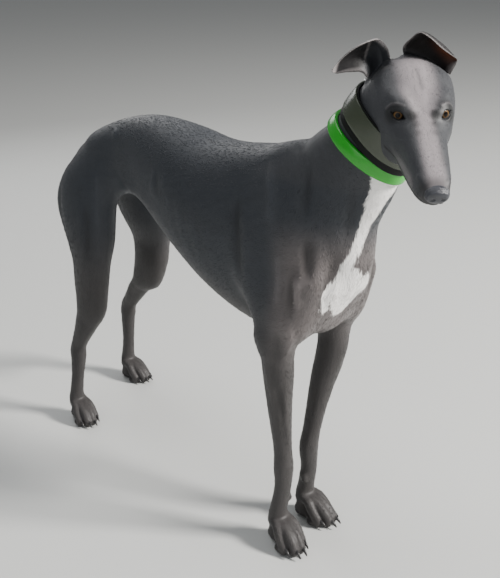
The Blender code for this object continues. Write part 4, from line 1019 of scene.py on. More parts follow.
def band_rings(collar, form, sides=42):
    """The band's inner line at its two edges, which follow the neck, and the way it grows outwards."""
    axis = unit(np.array(collar["axis"], float))
    first = unit(np.cross(axis, (1.0, 0, 0)))
    second = np.cross(axis, first)
    angles = np.arange(sides) * 2 * math.pi / sides
    rays = np.outer(np.cos(angles), first) + np.outer(np.sin(angles), second)
    radii = []
    throat = [neck(head_frame())]
    for along in (-0.5, -0.25, 0.0, 0.25, 0.5):
        centre = np.array(collar["at"]) + along * collar["width"] * axis
        slim = np.full(sides, 0.030)
        reach = np.full(sides, 0.030)
        for _ in range(40):
            slim = slim + np.clip(-field(centre + rays * slim[:, None], throat), -0.006, 0.006)
            value = field(centre + rays * reach[:, None], *form)
            reach = reach + np.clip(-value, -0.006, 0.006)
        radii.append(np.minimum(reach, slim + 0.008) + COLLAR_EASE)
    low, high = radii[0], radii[-1]
    spare = [radii[k] - low - (high - low) * k / 4 for k in (1, 2, 3)]
    lift = np.maximum(0, np.max(spare, axis=0))
    return axis, rays, filled(low + lift, 4), filled(high + lift, 4)


def fitting_frame(collar, form, angle, out):
    """Where a fitting lies on a band: centre, the way out, along the axis, and along the band."""
    axis, rays, low, high = band_rings(collar, form)
    k = int(angle / 360 * len(rays)) % len(rays)
    ray = rays[k]
    centre = np.array(collar["at"]) + ((low[k] + high[k]) / 2 + collar["thick"] + out) * ray
    return centre, ray, axis, np.cross(axis, ray)


def hoop(name, centre, flat, up, wide, high, radius, sides, bevel):
    """A rounded rectangular ring of round wire in the plane of flat and up."""
    rows = []
    for k in range(sides):
        angle = 2 * math.pi * k / sides
        c, s = math.cos(angle), math.sin(angle)
        u = math.copysign(abs(c) ** 0.5, c) * wide / 2
        v = math.copysign(abs(s) ** 0.5, s) * high / 2
        rows.append(centre + u * flat + v * up)
    curve = bpy.data.curves.new(name, "CURVE")
    curve.dimensions = "3D"
    line = curve.splines.new("POLY")
    line.points.add(sides - 1)
    for point, row in zip(line.points, rows):
        point.co = (*row, 1)
    line.use_cyclic_u = True
    curve.bevel_depth = radius
    curve.bevel_resolution = bevel
    obj = linked(name, curve)
    bpy.context.view_layer.update()
    mesh = bpy.data.meshes.new_from_object(obj.evaluated_get(bpy.context.evaluated_depsgraph_get()))
    remove(obj)
    return outward(linked(name, mesh))


def smooth(low, high, x):
    """Rises from 0 at low to 1 at high, gently at both ends, and falls where high is lower."""
    t = np.clip((x - low) / (high - low), 0, 1)
    return t * t * (3 - 2 * t)


def local(points, head):
    """The points in the head's frame."""
    return (points - head[:3, 3]) @ head[:3, :3]


def mixed(base, colour, weight):
    """The base colours, replaced by the colour as far as the weight says."""
    return base + (np.array(colour) - base) * weight[:, None]


def chain_distance(points, chain):
    """Distance to a chain of balls with tapered links, less than 0 inside it."""
    least = np.full(len(points), 1.0)
    chain = np.array(chain)
    for a, b in zip(chain[:-1], chain[1:]):
        along = b[:3] - a[:3]
        t = np.clip((points - a[:3]) @ along / (along @ along), 0, 1)
        gap = np.linalg.norm(points - a[:3] - t[:, None] * along, axis=1)
        least = np.minimum(least, gap - (a[3] + (b[3] - a[3]) * t))
    return least


def line_distance(points, line):
    """Distance to a line through points."""
    return chain_distance(points, [(*p, 0.0) for p in line])


def part_weights(points, head):
    """Each point's place in the head's frame, and how far it belongs to each part, from 0 to 1.

    The parts are the head, neck, fore legs, hind legs and tail, and the rest is trunk.
    """
    h = local(points, head)
    x, y, z = points.T
    in_head = smooth(-0.125, -0.085, h[:, 0]) * smooth(0.655, 0.680, z)
    in_neck = (1 - in_head) * smooth(0.02, -0.06, y) * smooth(0.575, 0.66, z)
    in_fore = smooth(0.47, 0.36, z) * (y < 0.15)
    in_hind = smooth(0.57, 0.47, z) * smooth(0.36, 0.43, y)
    in_tail = smooth(0.595, 0.625, y) * smooth(0.032, 0.022, np.abs(x)) * (z < 0.60)
    return h, in_head, in_neck, in_fore, in_hind * (1 - in_tail), in_tail


def front_share(points, in_head):
    """How far each point belongs to the front of the chest and throat."""
    x, y, z = points.T
    return smooth(-0.06, -0.11, y) * (1 - in_head) * smooth(0.66, 0.60, z)


def lie_of(points, head):
    """The way the coat lies at each point, before it is laid on the skin."""
    _, in_head, in_neck, in_fore, in_hind, in_tail = part_weights(points, head)
    front = front_share(points, in_head)
    way = np.zeros_like(points)
    for weight, ahead in (
        (np.clip(1 - in_head - in_neck - in_fore - in_hind - in_tail - front, 0, 1), LIE[0]),
        (in_head, -head[:3, 0] + 0.15 * np.array((0, 0, -1))),
        (in_neck, LIE[1]),
        (front, (0, 0.15, -1.0)),
        (in_fore, (0, 0.10, -1.0)),
        (in_hind, (0, 0.22, -1.0)),
        (in_tail, (0, 0.10, -1.0)),
    ):
        way += weight[:, None] * unit(np.array(ahead, float))
    return unit(way + 1e-6)


def tone_of(points, head, lips):
    """The coat's colour at each point, without its white: its own tones, with painted light on the shoulders,
    the top of the head, the lips and the brows, and painted shade under the belly, along the furrow and, with
    the dark skin of the lids, round the eyes.
    """
    h, in_head, *_ = part_weights(points, head)
    y, z = points[:, 1], points[:, 2]
    tone = np.tile(np.array(SLATE), (len(points), 1))
    tone = mixed(tone, LEG_GREY, 0.9 * smooth(0.52, 0.34, z))
    # Painted sunlight: the front of each shoulder lighter than the coat round it.
    shoulder = smooth(0.00, -0.07, y) * smooth(0.34, 0.44, z) * smooth(0.625, 0.545, z)
    tone = mixed(tone, SHOULDER_PAINTED_LIGHT, 0.75 * shoulder)
    # Painted shade: darker under the belly and inside the thighs.
    under = smooth(0.02, 0.12, y) * smooth(0.50, 0.40, y)
    under *= smooth(0.46, 0.40, z + 0.05 * smooth(0.2, 0.4, y))
    tone = mixed(tone, BELLY_PAINTED_SHADE, 0.6 * under)
    tone = mixed(tone, HEAD_GREY, 0.9 * in_head)
    # Painted light along the top of the skull and the bridge of the muzzle.
    bridge = 0.013 + 0.012 * smooth(0.02, -0.03, h[:, 0])
    top = np.exp(-((h[:, 1] / bridge) ** 4)) * smooth(-0.040, -0.012, h[:, 2])
    tone = mixed(tone, FACE_PAINTED_LIGHT, 0.85 * in_head * top * smooth(-0.115, -0.070, h[:, 0]))
    beside = h * (1, 0, 1) + np.outer(np.abs(h[:, 1]), (0, 1, 0))
    # Painted light along the side of the upper lip.
    flews = smooth(0.015, 0.003, chain_distance(beside, FLEWS))
    flews = flews * smooth(0.012, 0.055, h[:, 0]) * smooth(0.112, 0.085, h[:, 0])
    tone = mixed(tone, FACE_PAINTED_LIGHT, 0.42 * in_head * flews)
    # Dark round each eye: the dark skin of the lids, and painted shadow under the brow and down the muzzle
    # side from the inner corner.
    for s in (RIGHT, LEFT):
        for (along, aside, rise), near, far, most in EYE_RIMS_AND_SHADOWS:
            centre = turned(head, (EYE[0] + along, EYE[1] + aside, EYE[2] + rise), s)
            away = np.linalg.norm(points - centre, axis=1)
            tone = mixed(tone, RIM_AND_SHADOW_DARK, most * smooth(far, near, away))
    # A painted highlight along the crease over each eye.
    crease = line_distance(beside, BROW[2])
    tone = mixed(tone, FACE_PAINTED_LIGHT, 0.10 * in_head * smooth(0.0034, 0.0014, crease))
    # Painted shade along the furrow of the forehead.
    furrow = line_distance(h, FURROW[2])
    tone = mixed(tone, HEAD_GREY, 0.32 * in_head * smooth(0.0050, 0.0010, furrow))
    near_lips = line_distance(points, lips)
    tone = mixed(tone, LIP_DARK, 0.9 * in_head * smooth(0.0042, 0.0016, near_lips))
    tip = in_head * smooth(0.104, 0.122, h[:, 0])
    return mixed(tone, LIP_DARK, 0.60 * tip)


def white_of(points):
    """Signed distance to the white of the throat and chest, less than 0 inside it."""
    white = chain_distance(points, WHITE_PATCH)
    for lobe in WHITE_LOBES:
        white = np.minimum(white, chain_distance(points, lobe))
    axis = unit(np.array(SLIM_COLLAR["axis"], float))
    return np.maximum(white, (points - np.array(SLIM_COLLAR["at"])) @ axis + COLLAR_CLEAR)


def streak_shares(points, head):
    """How far the streaks of the neck, of the legs and of the face replace the trunk's, in turn."""
    _, in_head, in_neck, in_fore, in_hind, in_tail = part_weights(points, head)
    down = np.clip(in_fore + in_hind + in_tail + front_share(points, in_head), 0, 1)
    return np.stack([in_neck, down, in_head], axis=1)


class SoftFold(Fold):
    """A fold that fades out toward its two ends."""

    def offset(self, points):
        least = np.full(len(points), 1.0)
        place = np.zeros(len(points))
        lengths = np.linalg.norm(np.diff(self.points, axis=0), axis=1)
        done = 0.0
        for a, b, length in zip(self.points[:-1], self.points[1:], lengths):
            t = np.clip((points - a) @ (b - a) / length**2, 0, 1)
            gap = np.linalg.norm(points - a - t[:, None] * (b - a), axis=1)
            place = np.where(gap < least, (done + t * length) / lengths.sum(), place)
            least = np.minimum(least, gap)
            done += length
        fade = smooth(-0.08, 0.35, place) * smooth(1.08, 0.65, place)
        return self.depth * fade * np.exp(-((least / self.width) ** 2))


def scene_folds(form, head):
    """The solids' folds, made soft, and the skin's own finer ones."""
    folds = [SoftFold(fold.points, fold.width, SOFTER * fold.depth) for fold in all_folds(form)]
    for width, depth, points in EXTRA_FOLDS:
        for s in (LEFT, RIGHT):
            folds.append(SoftFold(on_surface([(s * x, y, z) for x, y, z in points], form), width, depth))
    width, depth, points = FURROW
    folds.append(Fold(on_surface([turned(head, p) for p in points], form), width, depth))
    for width, depth, points in (BROW, PAD):
        for s in (RIGHT, LEFT):
            folds.append(Fold(on_surface([turned(head, p, s) for p in points], form), width, depth))
    return folds


def hollows(points, folds):
    """How deep each point lies in the grooves, and less than 0 on the ridges."""
    deep = np.zeros(len(points))
    for fold in folds:
        near = np.nonzero(((points > fold.low) & (points < fold.high)).all(1))[0]
        deep[near] += fold.offset(points[near])
    return deep


def ear_sheet(head, s):
    """Points of the ear's leaf and their place across and along it, from its root to its tip."""
    along, across = EAR_GRID
    outer, middle, inner = (spline(rows, along) for rows in EARS[s])
    grid = np.empty((along, across, 3))
    places = np.linspace(-1, 1, across)
    for i, (low, deep, high) in enumerate(zip(outer, middle, inner)):
        for k, t in enumerate(places):
            flat = deep + t * (high - low) / 2 + t * t * ((high + low) / 2 - deep)
            grid[i, k] = turned(head, flat, s)
    return grid, places


def ear_skin(name, head, s):
    """The ear as a closed leaf with round margins, and for each point its place and its face."""
    grid, places = ear_sheet(head, s)
    along, across = EAR_GRID
    down = np.gradient(grid, axis=0)
    over = np.gradient(grid, axis=1)
    normal = unit(np.cross(down, over))
    steps = np.linspace(0, 1, along)
    half = 0.5 * EAR_SKIN * np.sqrt(np.clip(1 - np.abs(places) ** 5, 0, 1))
    half = half[None, :] * np.sqrt(np.clip(1 - steps**9, 0, 1))[:, None]
    for place, high in ((0.34, 0.0015), (-0.42, 0.0009)):
        rise = high * np.exp(-(((places - place) / 0.11) ** 2))[None, :]
        rise = rise * (smooth(0.05, 0.25, steps) * smooth(0.92, 0.60, steps))[:, None]
        grid = grid + normal * (EAR_INNER[s] * rise)[..., None]
    front = grid + normal * half[..., None]
    back = grid - normal * half[..., None]
    corners, marks = [], []
    for i in range(along):
        for k in range(across):
            corners.append(front[i, k])
            marks.append((steps[i], places[k], 1.0))
        for k in range(across - 2, 0, -1):
            corners.append(back[i, k])
            marks.append((steps[i], places[k], -1.0))
    ring = 2 * across - 2
    faces = ring_faces(along, ring)
    faces.append(tuple(range(ring)))
    faces.append(tuple(reversed(range(len(corners) - ring, len(corners)))))
    return outward(new_object(name, corners, faces)), np.array(corners), np.array(marks)


def eye_frame(head, s):
    """The eye's centre, its gaze, the way its slit runs, and the way up across the slit."""
    centre = turned(head, EYE, s)
    gaze = unit(head[:3, :3] @ np.array((GAZE[0], s * GAZE[1], GAZE[2])))
    slit = head[:3, :3] @ np.array((SLIT[0], s * SLIT[1], SLIT[2]))
    slit = unit(slit - (slit @ gaze) * gaze)
    return centre, gaze, slit, np.cross(slit, gaze) * s


def almond(u, v):
    """Less than 1 inside the opening of the lids, from places along and across it."""
    long, high = EYE_OPEN
    tall = high * np.where(v > 0, *LID_HIGH) * (1 - 0.35 * np.clip(u / long, -1, 1) ** 2)
    return np.sqrt((u / long) ** 2 + (v / tall) ** 2)


def open_lids(points, head):
    """Parts the skin over each eye: what is inside the almond goes behind the eyeball."""
    for s in (RIGHT, LEFT):
        centre, gaze, slit, rise = eye_frame(head, s)
        off = points - centre
        u, v, w = off @ slit, off @ rise, off @ gaze
        ratio = almond(u, v)
        rim = (ratio > 0.86) & (ratio < 1.14) & (w > 0)
        grow = 1.03 / ratio[rim]
        u[rim] *= grow
        v[rim] *= grow
        away = np.sqrt(u[rim] ** 2 + v[rim] ** 2)
        w[rim] = np.sqrt(np.maximum((EYE_RADIUS + 0.0010) ** 2 - away**2, 1e-6))
        inside = (ratio <= 0.86) & (w > 0)
        w[inside] = -0.002
        changed = rim | inside
        moved = centre + np.outer(u, slit) + np.outer(v, rise) + np.outer(w, gaze)
        points[changed] = moved[changed]
    return points


def lid_rim(head, s):
    """The bare dark margin of the lids, a round cord along the almond on the eyeball."""
    centre, gaze, slit, rise = eye_frame(head, s)
    long, high = EYE_OPEN
    rows = []
    for k in range(48):
        angle = 2 * math.pi * k / 48
        u, v = math.cos(angle), math.sin(angle)
        tall = high * (LID_HIGH[0] if v > 0 else LID_HIGH[1]) * (1 - 0.35 * u * u)
        flat = 1.01 * (u * long * slit + tall * v * rise)
        depth = math.sqrt(max((EYE_RADIUS + 0.0005) ** 2 - flat @ flat, 1e-8))
        rows.append(centre + flat + depth * gaze)
    return closed_tube("LidRim", np.array(rows), 0.00115, 10)


def closed_tube(name, rows, radius, sides):
    """A round tube along a closed line of points."""
    along = unit(np.roll(rows, -1, axis=0) - np.roll(rows, 1, axis=0))
    middle = rows.mean(0)
    out = rows - middle
    out = unit(out - (out * along).sum(1)[:, None] * along)
    up = np.cross(along, out)
    corners = []
    for i in range(len(rows)):
        for k in range(sides):
            angle = 2 * math.pi * k / sides
            corners.append(rows[i] + radius * (math.cos(angle) * out[i] + math.sin(angle) * up[i]))
    return outward(new_object(name, corners, ring_faces(len(rows), sides, closed=True)))


def joined(name, objects):
    """One object of several meshes."""
    made = bmesh.new()
    for obj in objects:
        made.from_mesh(obj.data)
    mesh = bpy.data.meshes.new(name)
    made.to_mesh(mesh)
    made.free()
    for obj in objects:
        remove(obj)
    return linked(name, mesh)


def put(obj, points):
    """Moves the object's vertices to the points."""
    obj.data.vertices.foreach_set("co", points.ravel())
    obj.data.update()


def grow_skin(head, form):
    """The skin of the whole dog, finest on the head and feet, with open lids and grooved lips."""
    skin = skinned("skin", form, SKIN_VOXEL, COAT_DEPTH)
    for rounds in range(2):

        def fine(points):
            forward = (points - head[:3, 3]) @ head[:3, 0]
            in_head = (forward > HEAD_START + 0.004 * rounds) & (points[:, 2] > 0.662)
            return in_head | ((points[:, 2] < 0.068) & (rounds == 0))

        settle(refined(skin, fine), form, 3 if rounds == 0 else 2, inset=COAT_DEPTH)
    points = open_lids(points_of(skin.data), head)
    points[:, 2] = np.maximum(points[:, 2], 0.0001)
    put(skin, points)
    return skin


def raise_ear_roots(skin, sheets):
    """Lifts the skin a little round each ear's root, so that the ear grows out of the skull."""
    points = points_of(skin.data)
    normals = points_of(skin.data, "normal")
    for grid in sheets:
        flat = grid[: EAR_GRID[0] // 2].reshape(-1, 3)
        tree = kd_of(flat)
        low, high = flat.min(0) - 0.014, flat.max(0) + 0.014
        near = np.nonzero(((points > low) & (points < high)).all(1))[0]
        gap = np.array([tree.find(points[i])[2] for i in near])
        lift = 0.0042 * np.exp(-((gap / 0.0058) ** 2))
        points[near] += lift[:, None] * normals[near]
    put(skin, points)


def soften(obj, chosen, rounds):
    """Evens the chosen points of a mesh among their neighbours."""
    points = points_of(obj.data)
    edges, degree = neighbours(obj.data)
    for _ in range(rounds):
        points[chosen] += evening(points, edges, degree)[chosen]
    put(obj, points)


def set_floats(mesh, name, values):
    mark = mesh.attributes.new(name, "FLOAT", "POINT")
    mark.data.foreach_set("value", np.ravel(values).astype(np.float32))


def set_colours(mesh, name, values):
    rgba = np.ones((len(values), 4), np.float32)
    rgba[:, :3] = values
    mesh.attributes.new(name, "FLOAT_COLOR", "POINT").data.foreach_set("color", rgba.ravel())


def set_marks(mesh, tone, white, streaks):
    """Writes what the coat's material reads: its colour, the distance to the white, and its streaks."""
    set_colours(mesh, "tone", tone)
    set_floats(mesh, "white", white)
    for k, name in enumerate(STREAKS):
        set_floats(mesh, name, streaks[:, k])


def ear_tones(points, trees, tone):
    """Paints the ears: dark inside, grey behind, with a painted glow of light through the cup and painted
    highlights on their margins, and the nearness to an ear.
    """
    near_ear = np.zeros(len(points))
    for tree, marks, s, low, high in trees:
        near = np.nonzero(((points > low - 0.004) & (points < high + 0.004)).all(1))[0]
        for i in near:
            _, k, gap = tree.find(points[i])
            along, across, face = marks[k]
            belongs = 1 - min(1, max(0, (gap - 0.0012) / 0.0030))
            belongs *= min(1, max(0, (along - 0.06) / 0.12))
            if belongs <= 0:
                continue
            near_ear[i] = max(near_ear[i], belongs)
            inside = EAR_INNER[s] * face > 0
            colour = np.array(EAR_IN if inside else EAR_BACK)
            colour = colour + (np.array(EAR_IN) - colour) * 0.8 * float(smooth(0.30, 0.45, along))
            if inside:
                glow = 0.9 if s == LEFT else 0.2
                glow *= max(0, 1 - abs(across + 0.35) / 0.6) * float(smooth(0.25, 0.6, along))
                colour = colour + (np.array(EAR_GLOW) - colour) * glow  # light that comes through
            # Painted highlight along the margins, and on the right ear over its peak, along its fold and at
            # its tip.
            edge = float(smooth(0.86, 0.98, abs(across))) * (0.60 if along > 0.15 else 0.2)
            if s == RIGHT:
                peak = smooth(0.45, 0.85, across) * smooth(0.20, 0.35, along)
                peak = float(peak * smooth(0.85, 0.60, along))
                bend = abs(along - 0.42 - 0.08 * across)
                line = float(smooth(0.030, 0.010, bend) * smooth(0.75, 0.45, abs(across)))
                edge = max(edge, 0.85 * peak, 0.40 * line, 0.80 * float(smooth(0.84, 0.94, along)))
            colour = colour + (np.array(EAR_RIM_HIGHLIGHT) - colour) * edge
            tone[i] += (colour - tone[i]) * belongs
    return near_ear


def kd_of(points):
    """A tree that finds the nearest of the points."""
    tree = KDTree(len(points))
    for i, p in enumerate(points):
        tree.insert(p, i)
    tree.balance()
    return tree


def sampled(mesh, count, weight_of, rng):
    """Random places on a mesh, weighted by area and by weight_of: points, normals and corner shares."""
    mesh.calc_loop_triangles()
    tris = np.empty(len(mesh.loop_triangles) * 3, np.int32)
    mesh.loop_triangles.foreach_get("vertices", tris)
    tris = tris.reshape(-1, 3)
    points, normals = points_of(mesh), points_of(mesh, "normal")
    a, b, c = (points[tris[:, i]] for i in range(3))
    area = 0.5 * np.linalg.norm(np.cross(b - a, c - a), axis=1)
    chance = area * weight_of((a + b + c) / 3)
    total = np.cumsum(chance)
    picked = np.searchsorted(total, rng.random(count) * total[-1])
    picked = np.minimum(picked, len(tris) - 1)
    r1, r2 = np.sqrt(rng.random(count)), rng.random(count)
    share = np.stack([1 - r1, r1 * (1 - r2), r1 * r2], axis=1)
    corner = tris[picked]
    where = (points[corner] * share[..., None]).sum(1)
    normal = unit((normals[corner] * share[..., None]).sum(1))
    return where, normal, corner, share


def atlas_place(points, head):
    """Where each root lies on an unwrap of the skin: round and along each part, in a cell of its own."""
    h, in_head, in_neck, in_fore, in_hind, in_tail = part_weights(points, head)
    x, y, z = points.T
    u = np.zeros(len(points))
    v = np.zeros(len(points))
    cell = np.zeros(len(points), int)
    trunk = np.ones(len(points), bool)

    def lay(chosen, number, around, along, low, high):
        u[chosen] = (around[chosen] / (2 * math.pi) + 0.5) % 1.0
        v[chosen] = np.clip((along[chosen] - low) / (high - low), 0, 1)
        cell[chosen] = number
        trunk[chosen] = False

    for s, fore, hind in ((RIGHT, 1, 2), (LEFT, 3, 4)):
        side = x * s > 0
        leg = LEGS[s]
        around = np.arctan2(x - 0.5 * (leg["elbow"][0] + leg["carpus"][0]), y - leg["carpus"][1])
        lay(side & (in_fore > 0.5), fore, around, z, 0.0, 0.48)
        around = np.arctan2(x - leg["stifle"][0], y - 0.5 * (leg["stifle"][1] + leg["hock"][1]))
        lay(side & (in_hind > 0.5), hind, around, z, 0.0, 0.58)
    lay(in_tail > 0.5, 5, np.arctan2(x + 0.005, y - 0.655), z, 0.10, 0.62)
    lay(in_head > 0.5, 6, np.arctan2(h[:, 1], h[:, 2] + 0.02), h[:, 0], -0.14, 0.14)
    lay((in_neck > 0.5) & (in_head <= 0.5), 7, np.arctan2(x, y + 0.11), z, 0.55, 0.86)
    around = np.arctan2(x, z - 0.57)
    u[trunk] = (around[trunk] / (2 * math.pi) + 0.5) % 1.0
    v[trunk] = np.clip((y[trunk] + 0.16) / 0.82, 0, 1)
    column, row = cell % 3, cell // 3
    size = 1 / 3
    return np.stack([(column + 0.03 + 0.94 * u) * size, (row + 0.03 + 0.94 * v) * size], axis=1)


def tuft_mesh(name, root, normal, way, long, wide, lift, uv, marks, rng):
    """One mesh of many thin closed tufts. Each has a root, a middle and a tip, and lies along the coat."""
    count = len(root)
    way = unit(way - (way * normal).sum(1)[:, None] * normal)
    aside = np.cross(normal, way)
    turn = rng.normal(0, 0.20, count)[:, None]
    way = unit(way + turn * aside)
    aside = np.cross(normal, way)
    long, wide, lift = long[:, None], wide[:, None], lift[:, None]
    base = root - 0.0004 * normal
    middle = root + way * 0.5 * long + normal * (0.00006 + 0.60 * lift * long)
    tip = root + way * long + normal * (lift * long)
    rings = []
    for centre, share, high in ((base, 0.75, 0.00020), (middle, 1.0, 0.00020)):
        rings += [centre - aside * wide * share / 2, centre + aside * wide * share / 2]
        rings.append(centre + normal * high)
    rings.append(tip)
    each = len(rings)
    corners = np.stack(rings, axis=1).reshape(-1, 3)
    faces = (np.array(TUFT_FACES)[None] + each * np.arange(count)[:, None, None]).reshape(-1, 3)
    mesh = bpy.data.meshes.new(name)
    mesh.vertices.add(len(corners))
    mesh.vertices.foreach_set("co", corners.ravel())
    mesh.loops.add(len(faces) * 3)
    mesh.loops.foreach_set("vertex_index", faces.ravel().astype(np.int32))
    mesh.polygons.add(len(faces))
    mesh.polygons.foreach_set("loop_start", np.arange(0, len(faces) * 3, 3, dtype=np.int32))
    mesh.polygons.foreach_set("loop_total", np.full(len(faces), 3, np.int32))
    mesh.update(calc_edges=True)
    mesh.validate()
    flat = (uv[:, None, :] + TUFT_FLAT_SIZE * np.array(TUFT_FLAT)[None]).reshape(-1, 2)
    layer = mesh.uv_layers.new(name="OFBake")
    layer.data.foreach_set("uv", flat[faces.ravel()].ravel().astype(np.float32))
    set_marks(mesh, *(np.repeat(mark, each, axis=0) for mark in marks))
    mesh.polygons.foreach_set("use_smooth", np.zeros(len(faces), bool))
    return linked(name, mesh)


def node(tree, kind, **values):
    """A new shader node with its properties set."""
    made = tree.nodes.new(kind)
    for key, value in values.items():
        setattr(made, key, value)
    return made


def surface(name, colour, **constants):
    """A material with a Principled surface, whose other sockets are set to constants."""
    made = bpy.data.materials.new(name)
    made.use_nodes = True
    principled = main_shader(made)
    principled.inputs["Base Color"].default_value = (*colour, 1)
    for key, value in constants.items():
        principled.inputs[key.replace("_", " ")].default_value = value
    made.diffuse_color = (*colour, 1)
    return made


def main_shader(made):
    """The Principled shader of a material."""
    return made.node_tree.nodes["Principled BSDF"]


def streaky(tree, place, way, size, detail, stretch):
    """Noise that runs in streaks along one direction."""
    turn = Vector(way).to_track_quat("X", "Z").to_euler()
    mapping = node(tree, "ShaderNodeMapping", vector_type="TEXTURE")
    mapping.inputs["Rotation"].default_value = turn
    mapping.inputs["Scale"].default_value = (stretch, 1, 1)
    tree.links.new(place.outputs["Object"], mapping.inputs["Vector"])
    noise = node(tree, "ShaderNodeTexNoise")
    noise.inputs["Scale"].default_value = size
    noise.inputs["Detail"].default_value = detail
    tree.links.new(mapping.outputs["Vector"], noise.inputs["Vector"])
    return noise.outputs["Fac"]


def all_streaks(tree, head, noise):
    """Streaks that follow the coat from part to part: trunk, neck, legs and face."""
    place = node(tree, "ShaderNodeTexCoord")
    ways = LIE + (tuple(-head[:3, 0]),)
    value = streaky(tree, place, ways[0], *noise)
    for name, way in zip(STREAKS, ways[1:]):
        share = node(tree, "ShaderNodeAttribute", attribute_name=name)
        blend = node(tree, "ShaderNodeMix", data_type="FLOAT")
        tree.links.new(share.outputs["Fac"], blend.inputs["Factor"])
        tree.links.new(value, blend.inputs["A"])
        tree.links.new(streaky(tree, place, way, *noise), blend.inputs["B"])
        value = blend.outputs["Result"]
    return value


def scaled(tree, value, factor, plus):
    """The value times a factor, plus a number."""
    made = node(tree, "ShaderNodeMath", operation="MULTIPLY_ADD")
    tree.links.new(value, made.inputs[0])
    made.inputs[1].default_value = factor
    if isinstance(plus, float):
        made.inputs[2].default_value = plus
    else:
        tree.links.new(plus, made.inputs[2])
    return made.outputs["Value"]


def coat_material(name, head, bump_depth, fine, broad):
    """Short sleek fur: colour from the marks on the mesh, with streaks that run down the coat."""
    made = surface(
        name, SLATE, Roughness=0.53, Specular_IOR_Level=0.35, Sheen_Weight=0.10, Sheen_Roughness=0.40
    )
    tree, principled = made.node_tree, main_shader(made)
    link = tree.links.new
    tone = node(tree, "ShaderNodeAttribute", attribute_name="tone")
    white = node(tree, "ShaderNodeAttribute", attribute_name="white")
    hairs = all_streaks(tree, head, HAIRS)
    patches = all_streaks(tree, head, PATCHES)
    feather = all_streaks(tree, head, FEATHER)
    fuzz = scaled(tree, feather, 0.011, scaled(tree, patches, 0.009, white.outputs["Fac"]))
    ramp = node(tree, "ShaderNodeMapRange", interpolation_type="SMOOTHSTEP")
    ramp.inputs["From Min"].default_value = WHITE_FADE[0]
    ramp.inputs["From Max"].default_value = WHITE_FADE[1]
    link(fuzz, ramp.inputs["Value"])
    paint = node(tree, "ShaderNodeMix", data_type="RGBA")
    link(ramp.outputs["Result"], paint.inputs["Factor"])
    link(tone.outputs["Color"], paint.inputs["A"])
    paint.inputs["B"].default_value = (*WHITE, 1)
    each = node(tree, "ShaderNodeMath", operation="MULTIPLY")
    link(scaled(tree, hairs, fine, 1.0 - 0.5 * fine), each.inputs[0])
    link(scaled(tree, patches, broad, 1.0 - 0.5 * broad), each.inputs[1])
    shade = node(tree, "ShaderNodeVectorMath", operation="SCALE")
    link(paint.outputs["Result"], shade.inputs[0])
    link(each.outputs["Value"], shade.inputs["Scale"])
    link(shade.outputs["Vector"], principled.inputs["Base Color"])
    bump = node(tree, "ShaderNodeBump")
    bump.inputs["Strength"].default_value = 0.4
    bump.inputs["Distance"].default_value = bump_depth
    link(feather, bump.inputs["Height"])
    link(bump.outputs["Normal"], principled.inputs["Normal"])
    return made


def eye_material(name, centre, gaze):
    """A wet amber eye: a dark pupil, a streaked iris with a dark edge, and a dark white round it."""
    made = surface(
        name,
        (0.2, 0.1, 0.04),
        Roughness=0.35,
        Specular_IOR_Level=0.08,
        Coat_Weight=0.25,
        Coat_Roughness=0.03,
    )
    tree, principled = made.node_tree, main_shader(made)
    link = tree.links.new
    place = node(tree, "ShaderNodeTexCoord")
    off = node(tree, "ShaderNodeVectorMath", operation="SUBTRACT")
    off.inputs[1].default_value = tuple(centre)
    link(place.outputs["Object"], off.inputs[0])
    even = node(tree, "ShaderNodeVectorMath", operation="NORMALIZE")
    link(off.outputs["Vector"], even.inputs[0])
    turn = node(tree, "ShaderNodeVectorMath", operation="DOT_PRODUCT")
    turn.inputs[1].default_value = tuple(gaze)
    link(even.outputs["Vector"], turn.inputs[0])
    angle = node(tree, "ShaderNodeMath", operation="ARCCOSINE")
    link(turn.outputs["Value"], angle.inputs[0])
    ramp = node(tree, "ShaderNodeValToRGB")
    for k, (where, colour) in enumerate(EYE_RINGS):
        stop = ramp.color_ramp.elements[k] if k < 2 else ramp.color_ramp.elements.new(where)
        stop.position = where
        stop.color = (*colour, 1)
    link(angle.outputs["Value"], ramp.inputs["Fac"])
    noise = node(tree, "ShaderNodeTexNoise")
    noise.inputs["Scale"].default_value = IRIS_STREAKS
    link(place.outputs["Object"], noise.inputs["Vector"])
    vary = node(tree, "ShaderNodeMath", operation="MULTIPLY_ADD")
    link(noise.outputs["Fac"], vary.inputs[0])
    vary.inputs[1].default_value = 0.7
    vary.inputs[2].default_value = 0.65
    shade = node(tree, "ShaderNodeVectorMath", operation="SCALE")
    link(ramp.outputs["Color"], shade.inputs[0])
    link(vary.outputs["Value"], shade.inputs["Scale"])
    link(shade.outputs["Vector"], principled.inputs["Base Color"])
    return made


def bumpy(made, size, depth, strength, kind="ShaderNodeTexNoise", output="Fac"):
    """Gives a material a fine grain."""
    tree, principled = made.node_tree, main_shader(made)
    place = node(tree, "ShaderNodeTexCoord")
    noise = node(tree, kind)
    noise.inputs["Scale"].default_value = size
    tree.links.new(place.outputs["Object"], noise.inputs["Vector"])
    bump = node(tree, "ShaderNodeBump")
    bump.inputs["Strength"].default_value = strength
    bump.inputs["Distance"].default_value = depth
    tree.links.new(noise.outputs[output], bump.inputs["Height"])
    tree.links.new(bump.outputs["Normal"], principled.inputs["Normal"])


def dressed(obj, made, nodes=(), smoothly=True):
    """Moves a finished piece to its place, gives it its material, hangs it on the root body and hides the
    nodes it stands for.
    """
    obj.data.transform(Matrix.Translation((*SHIFT, 0)))
    obj.data.materials.clear()
    obj.data.materials.append(made)
    if smoothly:
        obj.data.polygons.foreach_set("use_smooth", np.ones(len(obj.data.polygons), bool))
    obj.data.update()
    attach(obj, "root")
    if nodes:
        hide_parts(*nodes)
    return obj


